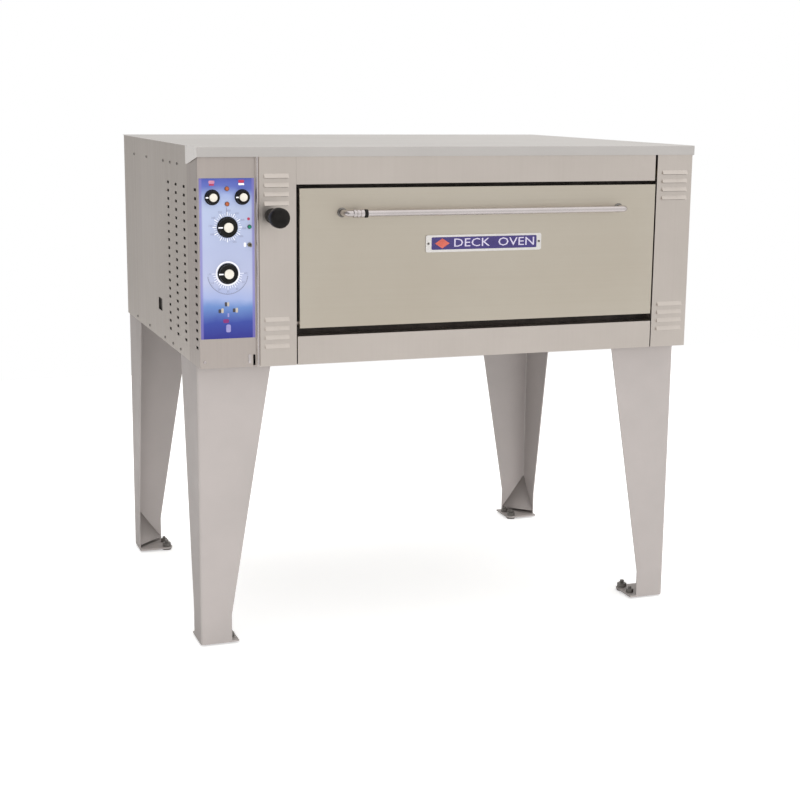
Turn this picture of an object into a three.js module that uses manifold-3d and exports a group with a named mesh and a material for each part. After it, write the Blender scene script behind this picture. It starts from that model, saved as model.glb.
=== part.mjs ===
// A single-deck electric deck oven on four tapered legs, in millimetres, +Z up.
// The front faces -Y.  The origin is on the floor, under the middle of the oven's box.
import * as THREE from 'three';
import { mergeVertices } from 'three/addons/utils/BufferGeometryUtils.js';
import Module from 'manifold-3d';

const wasm = await Module();
wasm.setup();

// ---------------------------------------------------------------- driving dimensions

// Body
const bodyWidth = 1391; // over the two side panels
const bodyDepth = 1080; // front facia to rear panel
const bodyHeight = 559; // underside of the body to the top of the lid
const legHeight = 764; // floor to the underside of the body
const sheet = 1.5; // thickness of the outer panels
const fit = 0.3; // gap kept between pieces that touch
const snugFit = 0.5; // gap round a rod that passes through a piece
const cutPast = 1; // how far a cut runs past the surface it opens
const sideFlange = 18; // folded edges of the side panels

// Lid
const lidSideOverhang = 3;
const lidFrontOverhang = 4;
const lipHeight = 25;
const lidTabDepth = 142; // how far the lid's end tabs run back along the sides
const lidTabHeight = 47; // height of an end tab at its back
const lidTabFlat = 20; // level stretch at the back of a tab's lower edge

// Front layout, left to right
const controlWidth = 148;
const leftPostWidth = 104;
const rightPostWidth = 107.5;
const controlRecess = 8; // control panel behind the facia plane
const controlReturnDepth = 135; // side return of the control panel

// Front layout, bottom to top
const sillHeight = 74;
const sillSideGap = 3;
const doorBottomGap = 22;
const doorHeight = 358;
const doorTopGap = 10;

// Door
const doorSideGap = 7;
const doorProud = 6; // door face in front of the facia
const doorThickness = 46;
const doorPanDepth = 16; // depth of the outer skin's folded rim
const hingeRise = 12; // hinge axis above the door's lower edge
const hingeBehindFacia = 16; // hinge axis behind the facia plane

// Hinge pieces
const pinRadius = 5;
const pinClearance = 0.7;
const pinReach = 44; // pin beyond the door's end
const pinInDoor = 30; // pin inside the door
const pinHead = 4; // length of the pin's head, and how far it stands out round the pin
const armThickness = 4;
const armHeight = 90;
const bracketThickness = 3;
const bracketHeight = 52;
const bracketBeyondPost = 6; // bracket plate outside the post's return
const bracketFlange = 14;
const bracketBeforePin = 7; // bracket in front of the pin
const springCoilRadius = 10;
const springWireRadius = 1.25;
const springTurns = 7;
const springPitch = 3.2;
const springTailLength = 26;
const springFromBracket = 1;
const springStepsPerTurn = 8;

// Handle
const handleLength = 792; // between the middles of the two bent ends
const handleRadius = 8.5;
const handleStandoff = 46; // door face to the middle of the bar
const handleBend = 14;
const handleBelowDoorTop = 62;
const sleeveRadius = 11;
const sleeveLength = 40;
const sleeveFromEnd = 15;

// Nameplate
const plateWidth = 332;
const plateHeight = 45;
const plateThickness = 2.5;
const plateBelowDoorTop = 148; // door's top edge to the middle of the plate

// Louvres on the two posts
const louvreCount = 4;
const louvrePitch = 23;
const louvreHeight = 12;
const louvreRise = 6;
const louvreWall = 1.6;
const louvreHead = 4; // solid stretch at the head of a hood
const louvreOpening = 0.5; // how far the slot runs down the hood's open edge
const leftLouvreWidth = 64;
const rightLouvreWidth = 76;
const louvresBelowLid = 66; // top of the lid to the top louvre's upper edge
const louvresAboveBase = 47; // underside of the body to the lowest louvre's lower edge

// Vent slots in the left side
const ventLength = 26;
const ventHeight = 7.4;
const ventRows = 19;
const ventPitch = 22.3;
const ventBottom = 50; // first slot above the underside of the body
const ventColumns = 3;
const ventColumnPitch = 104;
const ventFirstColumn = 178; // behind the facia plane
const returnVentColumn = 40; // column in the control panel's return
const sidePortBehind = 530; // port in the side panel, behind the facia plane
const sidePortWidth = 56;
const sidePortHeight = 35;
const sidePortBottom = 82;

// Vent slots in the rear panel, above the power inlet
const rearSlots = 8;
const rearSlotPitch = 34;
const rearSlotLength = 90;
const rearSlotHeight = 8;
const rearSlotBottom = 143.5;

// Legs
const legSetback = 60; // front legs behind the facia plane
const legInset = 1; // legs inside the side panels
const legRearInset = 16; // rear legs inside the rear panel
const legTopWidth = 198;
const legFootWidth = 85;
const legFootHeight = 82; // straight stretch at the foot, below the taper
const legSheet = 3;
const legTopPlate = 3;
const footPlate = 5;
const footPlateSize = 104;
const footCorner = 12; // cut corner of the foot plate
const footClearance = 5; // foot plate above the floor
const gussetHeight = 110; // diagonal plate across the inside of the fold
const gussetLift = 8; // gusset above the foot plate

// Levelling feet
const levellerFromEdge = 17; // from the foot plate's two inner edges
const levellerRadius = 6;
const levellerClearance = 1;
const levellerPadRadius = 15;
const levellerPadHeight = 4.5;
const levellerHeight = 31;
const levellerNutAcross = 24;
const levellerNutHeight = 12;

// Base rails under the chamber
const railWidth = 45;
const railWall = 3;
const railInset = 150;

// Baking chamber
const doorMouthGap = 4; // shut door to the chamber's face frame
const linerWall = 1.5;
const doorOverlap = 27; // door over the chamber opening, each end
const openingBottomAboveDoor = 28;
const openingTopBelowDoor = 25;
const chamberTopAboveOpening = 12;
const chamberFloorBelowOpening = 62;
const faceFrameSide = 34; // face frame beyond the door's ends
const faceFrameAbove = 16; // face frame above the door
const faceFrameBelow = 26; // face frame below the door
const insulationFrontGap = 4;
const insulationSide = 72;
const insulationTop = 56;
const insulationBottom = 30;
const insulationRear = 72;
const rearVoid = 50; // space between the insulation and the rear panel

// Hearth
const stoneThickness = 25;
const stoneGap = 4;
const stoneEdgeGap = 6;
const trayThickness = 3;
const trayWidth = 30;
const trayClearance = 1;

// Heating elements
const elementRadius = 4;
const elementLoops = 4;
const elementEdge = 70; // chamber's side walls to the outer runs
const elementEndGap = 11; // chamber's ends to the bends
const upperElementDrop = 22;
const lowerElementRise = 18;

// Flue duct and damper
const damperFromPostLeft = 40; // damper rod from the left post's left edge
const damperBelowLid = 173;
const damperKnobRadius = 25.5;
const damperKnobLength = 46;
const damperKnobFront = 90; // front of the knob, in front of the facia
const damperNeckRadius = 13;
const damperRodSeat = 20; // how far the rod runs into the knob
const damperRodRadius = 4;
const damperBushRadius = 19;
const damperBushFront = 14; // radius of the bush's front end
const damperBushRim = 4; // thickness of the bush where it meets the post
const damperBushNeck = 11; // radius where the bush passes through the post
const damperBushLength = 24;
const damperBushBore = 5;
const damperBushBack = 8; // bush behind the post's face
const damperPostHole = 13;
const damperTravel = 40;
const ductWidth = 60;
const ductHeight = 50;
const ductBehindFacia = 160;
const damperPlateMargin = 10;
const damperLinkWidth = 12;
const damperLinkHeight = 6;

// Controls, from the control panel's left edge and from the underside of the body
const graphicMarginLeft = 3;
const graphicWidth = 141;
const graphicBottom = 76;
const graphicHeight = 405;
const graphicThickness = 1;
const middleColumn = 74;
const topKnobRise = 434;
const topHeatColumn = 36;
const bottomHeatColumn = 113;
const thermostatRise = 359;
const timerRise = 242;
const upperLampRise = 455;
const lowerLampRise = 417;
const powerColumn = 131;
const powerLampRise = 359;
const powerSwitchRise = 314;
const smallKnobRadius = 19.5;
const bigKnobRadius = 26.5;
const knobHeight = 15;
const knobTaper = 2; // grip narrower than the skirt
const knobSkirt = 3;
const notchWidth = 3;
const notchFromCap = 3;
const notchFloor = 4; // notch's floor in front of the panel
const capRadius = 10;
const capHeight = 3;
const capTaper = 1;
const shaftRadius = 3;
const shaftHole = 4.2;
const shaftReach = 12; // shaft behind the control panel
const lampRadius = 6;
const lampNeckRadius = 4;
const powerLampRadius = 5.5;
const powerLampNeckRadius = 3;
const lampReach = 14;
const lampRim = 2;
const lampDomeSteps = 4;
const controlHoleGap = 0.8; // panel holes round the lamps' necks and the toggle's bush
const toggleBushRadius = 4.8;
const toggleBushBore = 3.4;
const toggleBushProud = 6;
const toggleRadius = 1.5;
const toggleTipRadius = 2.4;
const toggleLength = 14;
const togglePivot = 2; // pivot in front of the graphic plate
const toggleTilt = -13; // degrees, hanging down at rest

// Pieces behind the control panel
const thermostatSize = [62, 40, 48];
const timerSize = [66, 44, 60];
const heatSwitchSize = [34, 32, 34];
const contactorSize = [70, 60, 85];
const contactorBehind = 210; // behind the facia plane
const contactorLugs = 3;
const lugPitch = 20;
const lugWidth = 12;
const lugHeight = 16;
const lugProud = 6;
const lugRoot = 4; // lug inside the contactor's body
const lugFromEdge = 8;
const lugFromTop = 14;
const powerSwitchSize = [14, 20, 24];

// Power inlet in the rear panel
const glandRadius = 20;
const glandBore = 11;
const glandLength = 24;
const glandFromLeft = 120;
const glandRise = 90;
const glandHole = 14; // radius of the hole in the rear panel
const glandNeck = 13;
const glandNeckLength = 6;
const glandCollar = 8; // length of the collar against the panel
const glandTaper = 4;

// Latch slot and screw in the control panel
const latchSlotWidth = 6;
const latchSlotHeight = 28;
const latchSlotBottom = 3.5;
const latchSlotFromRight = 4;

// ---------------------------------------------------------------- derived places

const bottom = legHeight;
const top = legHeight + bodyHeight;
const left = -bodyWidth / 2;
const right = bodyWidth / 2;
const controlRight = left + controlWidth;
const leftPostRight = controlRight + leftPostWidth;
const rightPostLeft = right - rightPostWidth;
const underLid = top - sheet - fit;
const mouthBehindFacia = doorThickness - doorProud + doorMouthGap;
const returnDepth = mouthBehindFacia - fit; // folded edges that meet the chamber's face frame

const doorLeft = leftPostRight + doorSideGap;
const doorRight = rightPostLeft - doorSideGap;
const doorMiddle = (doorLeft + doorRight) / 2;
const sillTop = bottom + sillHeight;
const doorBottom = sillTop + doorBottomGap;
const doorTop = doorBottom + doorHeight;
const headerBottom = doorTop + doorTopGap;
const doorFront = -doorProud;
const doorBack = doorFront + doorThickness;
const hingeY = hingeBehindFacia;
const hingeZ = doorBottom + hingeRise;

const openingLeft = doorLeft + doorOverlap;
const openingRight = doorRight - doorOverlap;
const openingBottom = doorBottom + openingBottomAboveDoor;
const openingTop = doorTop - openingTopBelowDoor;
const chamberTop = openingTop + chamberTopAboveOpening;
const chamberFloor = openingBottom - chamberFloorBelowOpening;
const chamberBack = bodyDepth - sheet - rearVoid - insulationRear - linerWall;
const insulationFront = mouthBehindFacia + linerWall + insulationFrontGap;
const insulationLeft = openingLeft - linerWall - insulationSide;
const insulationRight = openingRight + linerWall + insulationSide;
const insulationBase = chamberFloor - linerWall - fit - insulationBottom;
const railTop = insulationBase - fit;

const stoneTop = openingBottom - fit;
const stoneBottom = stoneTop - stoneThickness;
const damperX = controlRight + damperFromPostLeft;
const damperZ = top - damperBelowLid;
const frontReach = damperKnobFront;
const rearReach = bodyDepth + glandLength;
const middleOfDepth = (rearReach - frontReach) / 2;
const plateFace = controlRecess - fit - graphicThickness - fit; // plane the controls stand on

// ---------------------------------------------------------------- solids

const gridPerMillimetre = 1024; // corners snap to a grid that 32-bit numbers hold exactly
const sliver = 0.012; // facets thinner than this are merged into their neighbours

// A closed mesh with merged corners, as a solid that can be joined and cut.
function toSolid(geometry) {
  const bare = geometry.clone();
  bare.deleteAttribute('normal');
  bare.deleteAttribute('uv');
  const corners = bare.attributes.position.array;
  for (let index = 0; index < corners.length; index += 1) {
    corners[index] = Math.round(corners[index] * gridPerMillimetre) / gridPerMillimetre;
  }
  const merged = mergeVertices(bare, 1e-4);
  const mesh = new wasm.Mesh({
    numProp: 3,
    vertProperties: new Float32Array(merged.attributes.position.array),
    triVerts: new Uint32Array(merged.index.array),
  });
  return new wasm.Manifold(mesh);
}

function toGeometry(solid) {
  const mesh = solid.getMesh();
  const geometry = new THREE.BufferGeometry();
  geometry.setAttribute('position', new THREE.BufferAttribute(mesh.vertProperties, 3));
  geometry.setIndex(new THREE.BufferAttribute(mesh.triVerts, 1));
  geometry.computeVertexNormals();
  return geometry;
}

// One piece from several that overlap, less whatever is cut away.
function build(pieces, cuts = []) {
  let result = toSolid(pieces[0]);
  for (const piece of pieces.slice(1)) {
    result = result.add(toSolid(piece));
  }
  for (const cut of cuts) {
    result = result.subtract(toSolid(cut));
  }
  return toGeometry(result.asOriginal().simplify(sliver));
}

function box(x0, x1, y0, y1, z0, z1) {
  const geometry = new THREE.BoxGeometry(x1 - x0, y1 - y0, z1 - z0);
  geometry.translate((x0 + x1) / 2, (y0 + y1) / 2, (z0 + z1) / 2);
  return geometry;
}

// Cylinders along each axis, between two stations.
function rodX(x0, x1, y, z, radius, sides = 16) {
  const geometry = new THREE.CylinderGeometry(radius, radius, x1 - x0, sides);
  geometry.rotateZ(-Math.PI / 2);
  geometry.translate((x0 + x1) / 2, y, z);
  return geometry;
}

function rodY(x, y0, y1, z, radius, sides = 16) {
  const geometry = new THREE.CylinderGeometry(radius, radius, y1 - y0, sides);
  geometry.translate(x, (y0 + y1) / 2, z);
  return geometry;
}

function rodZ(x, y, z0, z1, radius, sides = 16) {
  const geometry = new THREE.CylinderGeometry(radius, radius, z1 - z0, sides);
  geometry.rotateX(Math.PI / 2);
  geometry.translate(x, y, (z0 + z1) / 2);
  return geometry;
}

// A turned piece whose axis runs forward (-Y).  Each profile point is [radius, distance forward].
function turnedForward(profile, x, y, z, sides = 24) {
  const points = profile.map(([radius, forward]) => new THREE.Vector2(radius, forward));
  const geometry = new THREE.LatheGeometry(points, sides);
  geometry.rotateX(Math.PI);
  geometry.translate(x, y, z);
  return geometry;
}

function outlineShape(points, holes = []) {
  const shape = new THREE.Shape(points.map(([u, v]) => new THREE.Vector2(u, v)));
  for (const hole of holes) {
    shape.holes.push(hole);
  }
  return shape;
}

function roundHole(u, v, radius, sides) {
  const points = [];
  for (let step = 0; step < sides; step += 1) {
    const angle = (2 * Math.PI * (step + 0.5)) / sides;
    points.push(new THREE.Vector2(u + radius * Math.cos(angle), v + radius * Math.sin(angle)));
  }
  return new THREE.Path(points);
}

function slotHole(u0, u1, v0, v1) {
  return new THREE.Path([
    new THREE.Vector2(u0, v0),
    new THREE.Vector2(u1, v0),
    new THREE.Vector2(u1, v1),
    new THREE.Vector2(u0, v1),
  ]);
}

// A flat plate drawn in Y and Z, with its thickness from x0 to x1.
function plateYZ(points, holes, x0, x1) {
  const settings = { depth: x1 - x0, bevelEnabled: false, steps: 1 };
  const geometry = new THREE.ExtrudeGeometry(outlineShape(points, holes), settings);
  const across = new THREE.Vector3(0, 1, 0);
  const up = new THREE.Vector3(0, 0, 1);
  const out = new THREE.Vector3(1, 0, 0);
  geometry.applyMatrix4(new THREE.Matrix4().makeBasis(across, up, out));
  geometry.translate(x0, 0, 0);
  return geometry;
}

// A flat plate drawn in X and Z, with its thickness from y0 to y1.
function plateXZ(points, holes, y0, y1) {
  const settings = { depth: y1 - y0, bevelEnabled: false, steps: 1 };
  const geometry = new THREE.ExtrudeGeometry(outlineShape(points, holes), settings);
  const across = new THREE.Vector3(1, 0, 0);
  const up = new THREE.Vector3(0, 0, 1);
  const out = new THREE.Vector3(0, -1, 0);
  geometry.applyMatrix4(new THREE.Matrix4().makeBasis(across, up, out));
  geometry.translate(0, y1, 0);
  return geometry;
}

// A flat plate drawn in X and Y, with its thickness from z0 to z1.
function plateXY(points, holes, z0, z1) {
  const settings = { depth: z1 - z0, bevelEnabled: false, steps: 1 };
  const geometry = new THREE.ExtrudeGeometry(outlineShape(points, holes), settings);
  geometry.translate(0, 0, z0);
  return geometry;
}

// A flat triangle of plate between three corners, thickened on the side they run anticlockwise.
function trianglePlate(a, b, c, thickness) {
  const across = new THREE.Vector3().subVectors(b, a).normalize();
  const rise = new THREE.Vector3().subVectors(c, a);
  const out = new THREE.Vector3().crossVectors(across, rise).normalize();
  const up = new THREE.Vector3().crossVectors(out, across);
  const corners = [[0, 0], [a.distanceTo(b), 0], [rise.dot(across), rise.dot(up)]];
  const settings = { depth: thickness, bevelEnabled: false, steps: 1 };
  const geometry = new THREE.ExtrudeGeometry(outlineShape(corners, []), settings);
  geometry.applyMatrix4(new THREE.Matrix4().makeBasis(across, up, out));
  geometry.translate(a.x, a.y, a.z);
  return geometry;
}

// A round bar along a curve.
function barAlong(curve, radius, sides, steps) {
  const points = [];
  for (let side = 0; side < sides; side += 1) {
    const angle = (2 * Math.PI * side) / sides;
    points.push([radius * Math.cos(angle), radius * Math.sin(angle)]);
  }
  const settings = { steps, bevelEnabled: false, extrudePath: curve };
  return new THREE.ExtrudeGeometry(outlineShape(points), settings);
}

// The same plate or solid on the other side of the oven's middle plane.
function mirrored(geometry) {
  return toGeometry(toSolid(geometry).mirror([1, 0, 0]));
}

// ---------------------------------------------------------------- materials

function finish(color, roughness, metalness) {
  return new THREE.MeshStandardMaterial({ color, roughness, metalness });
}

const brushedSteel = () => finish(0xbeb4ab, 0.42, 0.85);
const doorSteel = () => finish(0xc0b49e, 0.4, 0.85);
const legPaint = () => finish(0xc4bbb7, 0.5, 0.55);
const plainSteel = () => finish(0x9c9a96, 0.5, 0.8);
const chrome = () => finish(0xd8d6d6, 0.15, 1);
const blackPlastic = () => finish(0x1c1a1a, 0.35, 0);
const graphicBlue = () => finish(0x5868b4, 0.35, 0);
const amberLens = () => finish(0xb4502c, 0.25, 0);
const greenLens = () => finish(0x147a50, 0.25, 0);
const ceramicStone = () => finish(0xc9bda4, 0.9, 0);
const mineralWool = () => finish(0xd8c98c, 0.95, 0);
const heaterSheath = () => finish(0x5a5552, 0.6, 0.7);
const moulding = () => finish(0x3a3835, 0.5, 0);
const brassPlate = () => finish(0xb49a52, 0.35, 0.9);

const oven = new THREE.Group();
const assembly = new THREE.Group();
assembly.position.set(0, -middleOfDepth, 0);
oven.add(assembly);

function addPiece(name, geometry, material) {
  const piece = new THREE.Mesh(geometry, material);
  piece.name = name;
  assembly.add(piece);
}

// ---------------------------------------------------------------- casing

// Cutters for one column of vent slots, at a distance behind the facia.
function ventColumn(behind) {
  const cutters = [];
  const y0 = behind - ventLength / 2;
  for (let row = 0; row < ventRows; row += 1) {
    const z0 = bottom + ventBottom + row * ventPitch - ventHeight / 2;
    cutters.push(box(left - cutPast, left + sheet + cutPast, y0, y0 + ventLength, z0, z0 + ventHeight));
  }
  return cutters;
}

function leftSidePanel() {
  const front = controlReturnDepth + fit;
  const back = bodyDepth - sheet - fit;
  const base = bottom + sheet + fit;
  const outline = [[front, bottom], [back, bottom], [back, underLid], [front, underLid]];
  const vents = [];
  for (let column = 0; column < ventColumns; column += 1) {
    vents.push(...ventColumn(ventFirstColumn + column * ventColumnPitch));
  }
  const portFront = sidePortBehind - sidePortWidth / 2;
  const portBase = bottom + sidePortBottom;
  const port = slotHole(portFront, portFront + sidePortWidth, portBase, portBase + sidePortHeight);
  return build(
    [
      plateYZ(outline, [port], left, left + sheet),
      box(left, left + sideFlange, front, back, underLid - sheet, underLid),
      box(left, left + sideFlange, front, back, base, base + sheet),
    ],
    vents,
  );
}

function rightSidePanel() {
  const front = sheet + fit;
  const back = bodyDepth - sheet - fit;
  const base = bottom + sheet + fit;
  return build([
    box(right - sheet, right, front, back, bottom, underLid),
    box(right - sideFlange, right, front, back, underLid - sheet, underLid),
    box(right - sideFlange, right, front, back, base, base + sheet),
  ]);
}

function rearPanel() {
  const outline = [[left, bottom], [right, bottom], [right, underLid], [left, underLid]];
  const inlet = left + glandFromLeft;
  const holes = [roundHole(inlet, bottom + glandRise, glandHole, 16)];
  for (let row = 0; row < rearSlots; row += 1) {
    const base = bottom + rearSlotBottom + row * rearSlotPitch;
    holes.push(slotHole(inlet - rearSlotLength / 2, inlet + rearSlotLength / 2, base, base + rearSlotHeight));
  }
  return plateXZ(outline, holes, bodyDepth - sheet, bodyDepth);
}

function basePan() {
  const x0 = left + sheet + fit;
  const x1 = right - sheet - fit;
  return box(x0, x1, returnDepth + fit, bodyDepth - sheet - fit, bottom, bottom + sheet);
}

function baseRail(x) {
  const front = insulationFront;
  const back = bodyDepth - rearVoid;
  const base = bottom + sheet + fit;
  const outer = box(x - railWidth / 2, x + railWidth / 2, front, back, base, railTop);
  const inner = box(x - railWidth / 2 + railWall, x + railWidth / 2 - railWall, front - cutPast,
    back + cutPast, base - cutPast, railTop - railWall);
  return build([outer], [inner]);
}

function topCover() {
  const x0 = left - lidSideOverhang;
  const x1 = right + lidSideOverhang;
  const y0 = -lidFrontOverhang;
  const lipBottom = top - lipHeight;
  const tabBack = y0 + lidTabDepth;
  const tabOutline = [
    [y0, lipBottom],
    [tabBack - lidTabFlat, top - lidTabHeight],
    [tabBack, top - lidTabHeight],
    [tabBack, top],
    [y0, top],
  ];
  return build([
    box(x0, x1, y0, bodyDepth, top - sheet, top),
    box(x0, x1, y0, y0 + sheet, lipBottom, top),
    plateYZ(tabOutline, [], x0, x0 + sheet),
    plateYZ(tabOutline, [], x1 - sheet, x1),
  ]);
}

// Front face and left return of the control section, folded from one sheet.
function controlPanel() {
  const y0 = controlRecess;
  const x1 = controlRight - fit;
  const shaftHoles = controlHoles();
  const slotRight = controlRight - latchSlotFromRight;
  const slotBase = bottom + latchSlotBottom;
  shaftHoles.push(slotHole(slotRight - latchSlotWidth, slotRight, slotBase, slotBase + latchSlotHeight));
  const faceOutline = [[left, bottom], [x1, bottom], [x1, underLid], [left, underLid]];
  const sideOutline = [[y0, bottom], [controlReturnDepth, bottom], [controlReturnDepth, underLid],
    [y0, underLid]];
  return build(
    [
      plateXZ(faceOutline, shaftHoles, y0, y0 + sheet),
      plateYZ(sideOutline, [], left, left + sheet),
      box(left, x1, y0, returnDepth, bottom, bottom + sheet),
    ],
    ventColumn(returnVentColumn),
  );
}

// Every hole that a control passes through, shared by the control panel and its graphic plate.
function controlHoles() {
  const holes = [];
  for (const [column, rise] of knobPlaces()) {
    holes.push(roundHole(left + column, bottom + rise, shaftHole, 12));
  }
  for (const rise of [upperLampRise, lowerLampRise]) {
    holes.push(roundHole(left + middleColumn, bottom + rise, lampNeckRadius + controlHoleGap, 12));
  }
  const power = left + powerColumn;
  holes.push(roundHole(power, bottom + powerLampRise, powerLampNeckRadius + controlHoleGap, 12));
  holes.push(roundHole(power, bottom + powerSwitchRise, toggleBushRadius + controlHoleGap, 12));
  return holes;
}

function knobPlaces() {
  return [
    [topHeatColumn, topKnobRise],
    [bottomHeatColumn, topKnobRise],
    [middleColumn, thermostatRise],
    [middleColumn, timerRise],
  ];
}

function graphicPlate() {
  const x0 = left + graphicMarginLeft;
  const x1 = x0 + graphicWidth;
  const z0 = bottom + graphicBottom;
  const z1 = z0 + graphicHeight;
  const y1 = controlRecess - fit;
  return plateXZ([[x0, z0], [x1, z0], [x1, z1], [x0, z1]], controlHoles(), y1 - graphicThickness, y1);
}

// Raised hoods that open downwards, and the slots behind them.
function louvreBank(x0, x1, lowest) {
  const hoods = [];
  const throats = [];
  for (let row = 0; row < louvreCount; row += 1) {
    const z0 = lowest + row * louvrePitch;
    const z1 = z0 + louvreHeight;
    const hood = [[sheet / 2, z0], [sheet / 2, z1], [-louvreRise, z0]];
    const behind = sheet + cutPast;
    const below = z0 - cutPast;
    const inside = -louvreRise + louvreWall;
    const throat = [[behind, below], [behind, z1 - louvreHead], [0, z1 - louvreHead],
      [inside, z0 + louvreOpening], [inside, below]];
    hoods.push(plateYZ(hood, [], x0, x1));
    throats.push(plateYZ(throat, [], x0 + louvreWall, x1 - louvreWall));
  }
  return { hoods, throats };
}

function louvreBanks(middle, width) {
  const x0 = middle - width / 2;
  const x1 = middle + width / 2;
  const stack = (louvreCount - 1) * louvrePitch + louvreHeight;
  const upper = louvreBank(x0, x1, top - louvresBelowLid - stack);
  const lower = louvreBank(x0, x1, bottom + louvresAboveBase);
  return {
    hoods: [...upper.hoods, ...lower.hoods],
    throats: [...upper.throats, ...lower.throats],
  };
}

function leftPost() {
  const banks = louvreBanks((controlRight + leftPostRight) / 2, leftLouvreWidth);
  const chamfer = [
    [controlRight, controlRecess],
    [controlRight + controlRecess, 0],
    [controlRight + controlRecess, sheet],
    [controlRight + sheet, controlRecess],
  ];
  const pinHole = rodX(leftPostRight - sheet - cutPast, leftPostRight + cutPast, hingeY, hingeZ,
    pinRadius + 2 * pinClearance);
  return build(
    [
      box(controlRight + controlRecess, leftPostRight, 0, sheet, bottom, underLid),
      plateXY(chamfer, [], bottom, underLid),
      box(controlRight, controlRight + sheet, controlRecess, returnDepth, bottom, underLid),
      box(leftPostRight - sheet, leftPostRight, 0, returnDepth, bottom, underLid),
      box(controlRight, leftPostRight, controlRecess, returnDepth, bottom, bottom + sheet),
      ...banks.hoods,
    ],
    [...banks.throats, pinHole, rodY(damperX, -cutPast, sheet + cutPast, damperZ, damperPostHole)],
  );
}

function rightPost() {
  const banks = louvreBanks((rightPostLeft + right) / 2, rightLouvreWidth);
  const pinHole = rodX(rightPostLeft - cutPast, rightPostLeft + sheet + cutPast, hingeY, hingeZ,
    pinRadius + 2 * pinClearance);
  return build(
    [
      box(rightPostLeft, right, 0, sheet, bottom, underLid),
      box(rightPostLeft, rightPostLeft + sheet, 0, returnDepth, bottom, underLid),
      box(rightPostLeft, right - sheet - fit, 0, returnDepth, bottom, bottom + sheet),
      ...banks.hoods,
    ],
    [...banks.throats, pinHole],
  );
}

function headerPanel() {
  const x0 = leftPostRight + fit;
  const x1 = rightPostLeft - doorSideGap;
  return build([
    box(x0, x1, 0, sheet, headerBottom, underLid),
    box(x0, x1, 0, returnDepth, headerBottom, headerBottom + sheet),
    box(x0, x1, 0, returnDepth, underLid - sheet, underLid),
  ]);
}

function sillPanel() {
  const x0 = leftPostRight + sillSideGap;
  const x1 = rightPostLeft - sillSideGap;
  return build([
    box(x0, x1, 0, sheet, bottom, sillTop),
    box(x0, x1, 0, returnDepth, sillTop - sheet, sillTop),
    box(x0, x1, 0, returnDepth, bottom, bottom + sheet),
  ]);
}

function conduitGland() {
  const profile = [
    [glandBore, fit - glandLength],
    [glandRadius - glandTaper, fit - glandLength],
    [glandRadius, -glandCollar],
    [glandRadius, 0],
    [glandNeck, 0],
    [glandNeck, glandNeckLength],
    [glandBore, glandNeckLength],
    [glandBore, fit - glandLength],
  ];
  return turnedForward(profile, left + glandFromLeft, bodyDepth + fit, bottom + glandRise);
}

// ---------------------------------------------------------------- legs

// A leg with its fold on the left front corner.  Both flanges taper down to a straight foot.
function legAtLeftFront() {
  const x0 = left + legInset;
  const y0 = legSetback;
  const z0 = footClearance + footPlate / 2;
  const z1 = bottom - fit;
  const knee = legFootHeight;
  const foot = legFootWidth;
  const head = legTopWidth;
  const frontOutline = [[x0, z0], [x0 + foot, z0], [x0 + foot, knee], [x0 + head, z1], [x0, z1]];
  const sideOutline = [[y0, z0], [y0 + foot, z0], [y0 + foot, knee], [y0 + head, z1], [y0, z1]];
  const headPlate = [[x0, y0], [x0 + head, y0], [x0, y0 + head]];
  const size = footPlateSize;
  const sole = [[x0, y0], [x0 + size, y0], [x0 + size, y0 + size - footCorner],
    [x0 + size - footCorner, y0 + size], [x0, y0 + size]];
  const gussetIn = legSheet / 2;
  const gussetEnd = legFootWidth - legSheet;
  const gussetBase = footClearance + footPlate + gussetLift;
  const gusset = [
    new THREE.Vector3(x0 + gussetEnd, y0 + gussetIn, gussetBase),
    new THREE.Vector3(x0 + gussetIn, y0 + gussetEnd, gussetBase),
    new THREE.Vector3(x0 + gussetIn, y0 + gussetIn, gussetBase + gussetHeight),
  ];
  const stud = footPlateSize - levellerFromEdge;
  return build(
    [
      plateXZ(frontOutline, [], y0, y0 + legSheet),
      plateYZ(sideOutline, [], x0, x0 + legSheet),
      plateXY(headPlate, [], z1 - legTopPlate, z1),
      plateXY(sole, [], footClearance, footClearance + footPlate),
      trianglePlate(...gusset, legSheet),
    ],
    [rodZ(x0 + stud, y0 + stud, 0, 2 * footPlate + footClearance, levellerRadius + levellerClearance, 12)],
  );
}

// A levelling foot stands in the foot plate's inner corner.
function levellerAtLeftFront() {
  const stud = footPlateSize - levellerFromEdge;
  const x = left + legInset + stud;
  const y = legSetback + stud;
  const nutBase = footClearance + footPlate + fit;
  return build([
    rodZ(x, y, 0, levellerPadHeight, levellerPadRadius, 20),
    rodZ(x, y, levellerPadHeight / 2, levellerHeight, levellerRadius, 12),
    rodZ(x, y, nutBase, nutBase + levellerNutHeight, levellerNutAcross / Math.sqrt(3), 6),
  ]);
}

// A rear leg is a front leg turned end for end about the middle of the legs' span.
function turnedToRear(geometry) {
  const span = legSetback + bodyDepth - legRearInset;
  const moved = geometry.clone();
  moved.rotateZ(Math.PI);
  moved.translate(0, span, 0);
  return moved;
}

// ---------------------------------------------------------------- chamber

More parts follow.
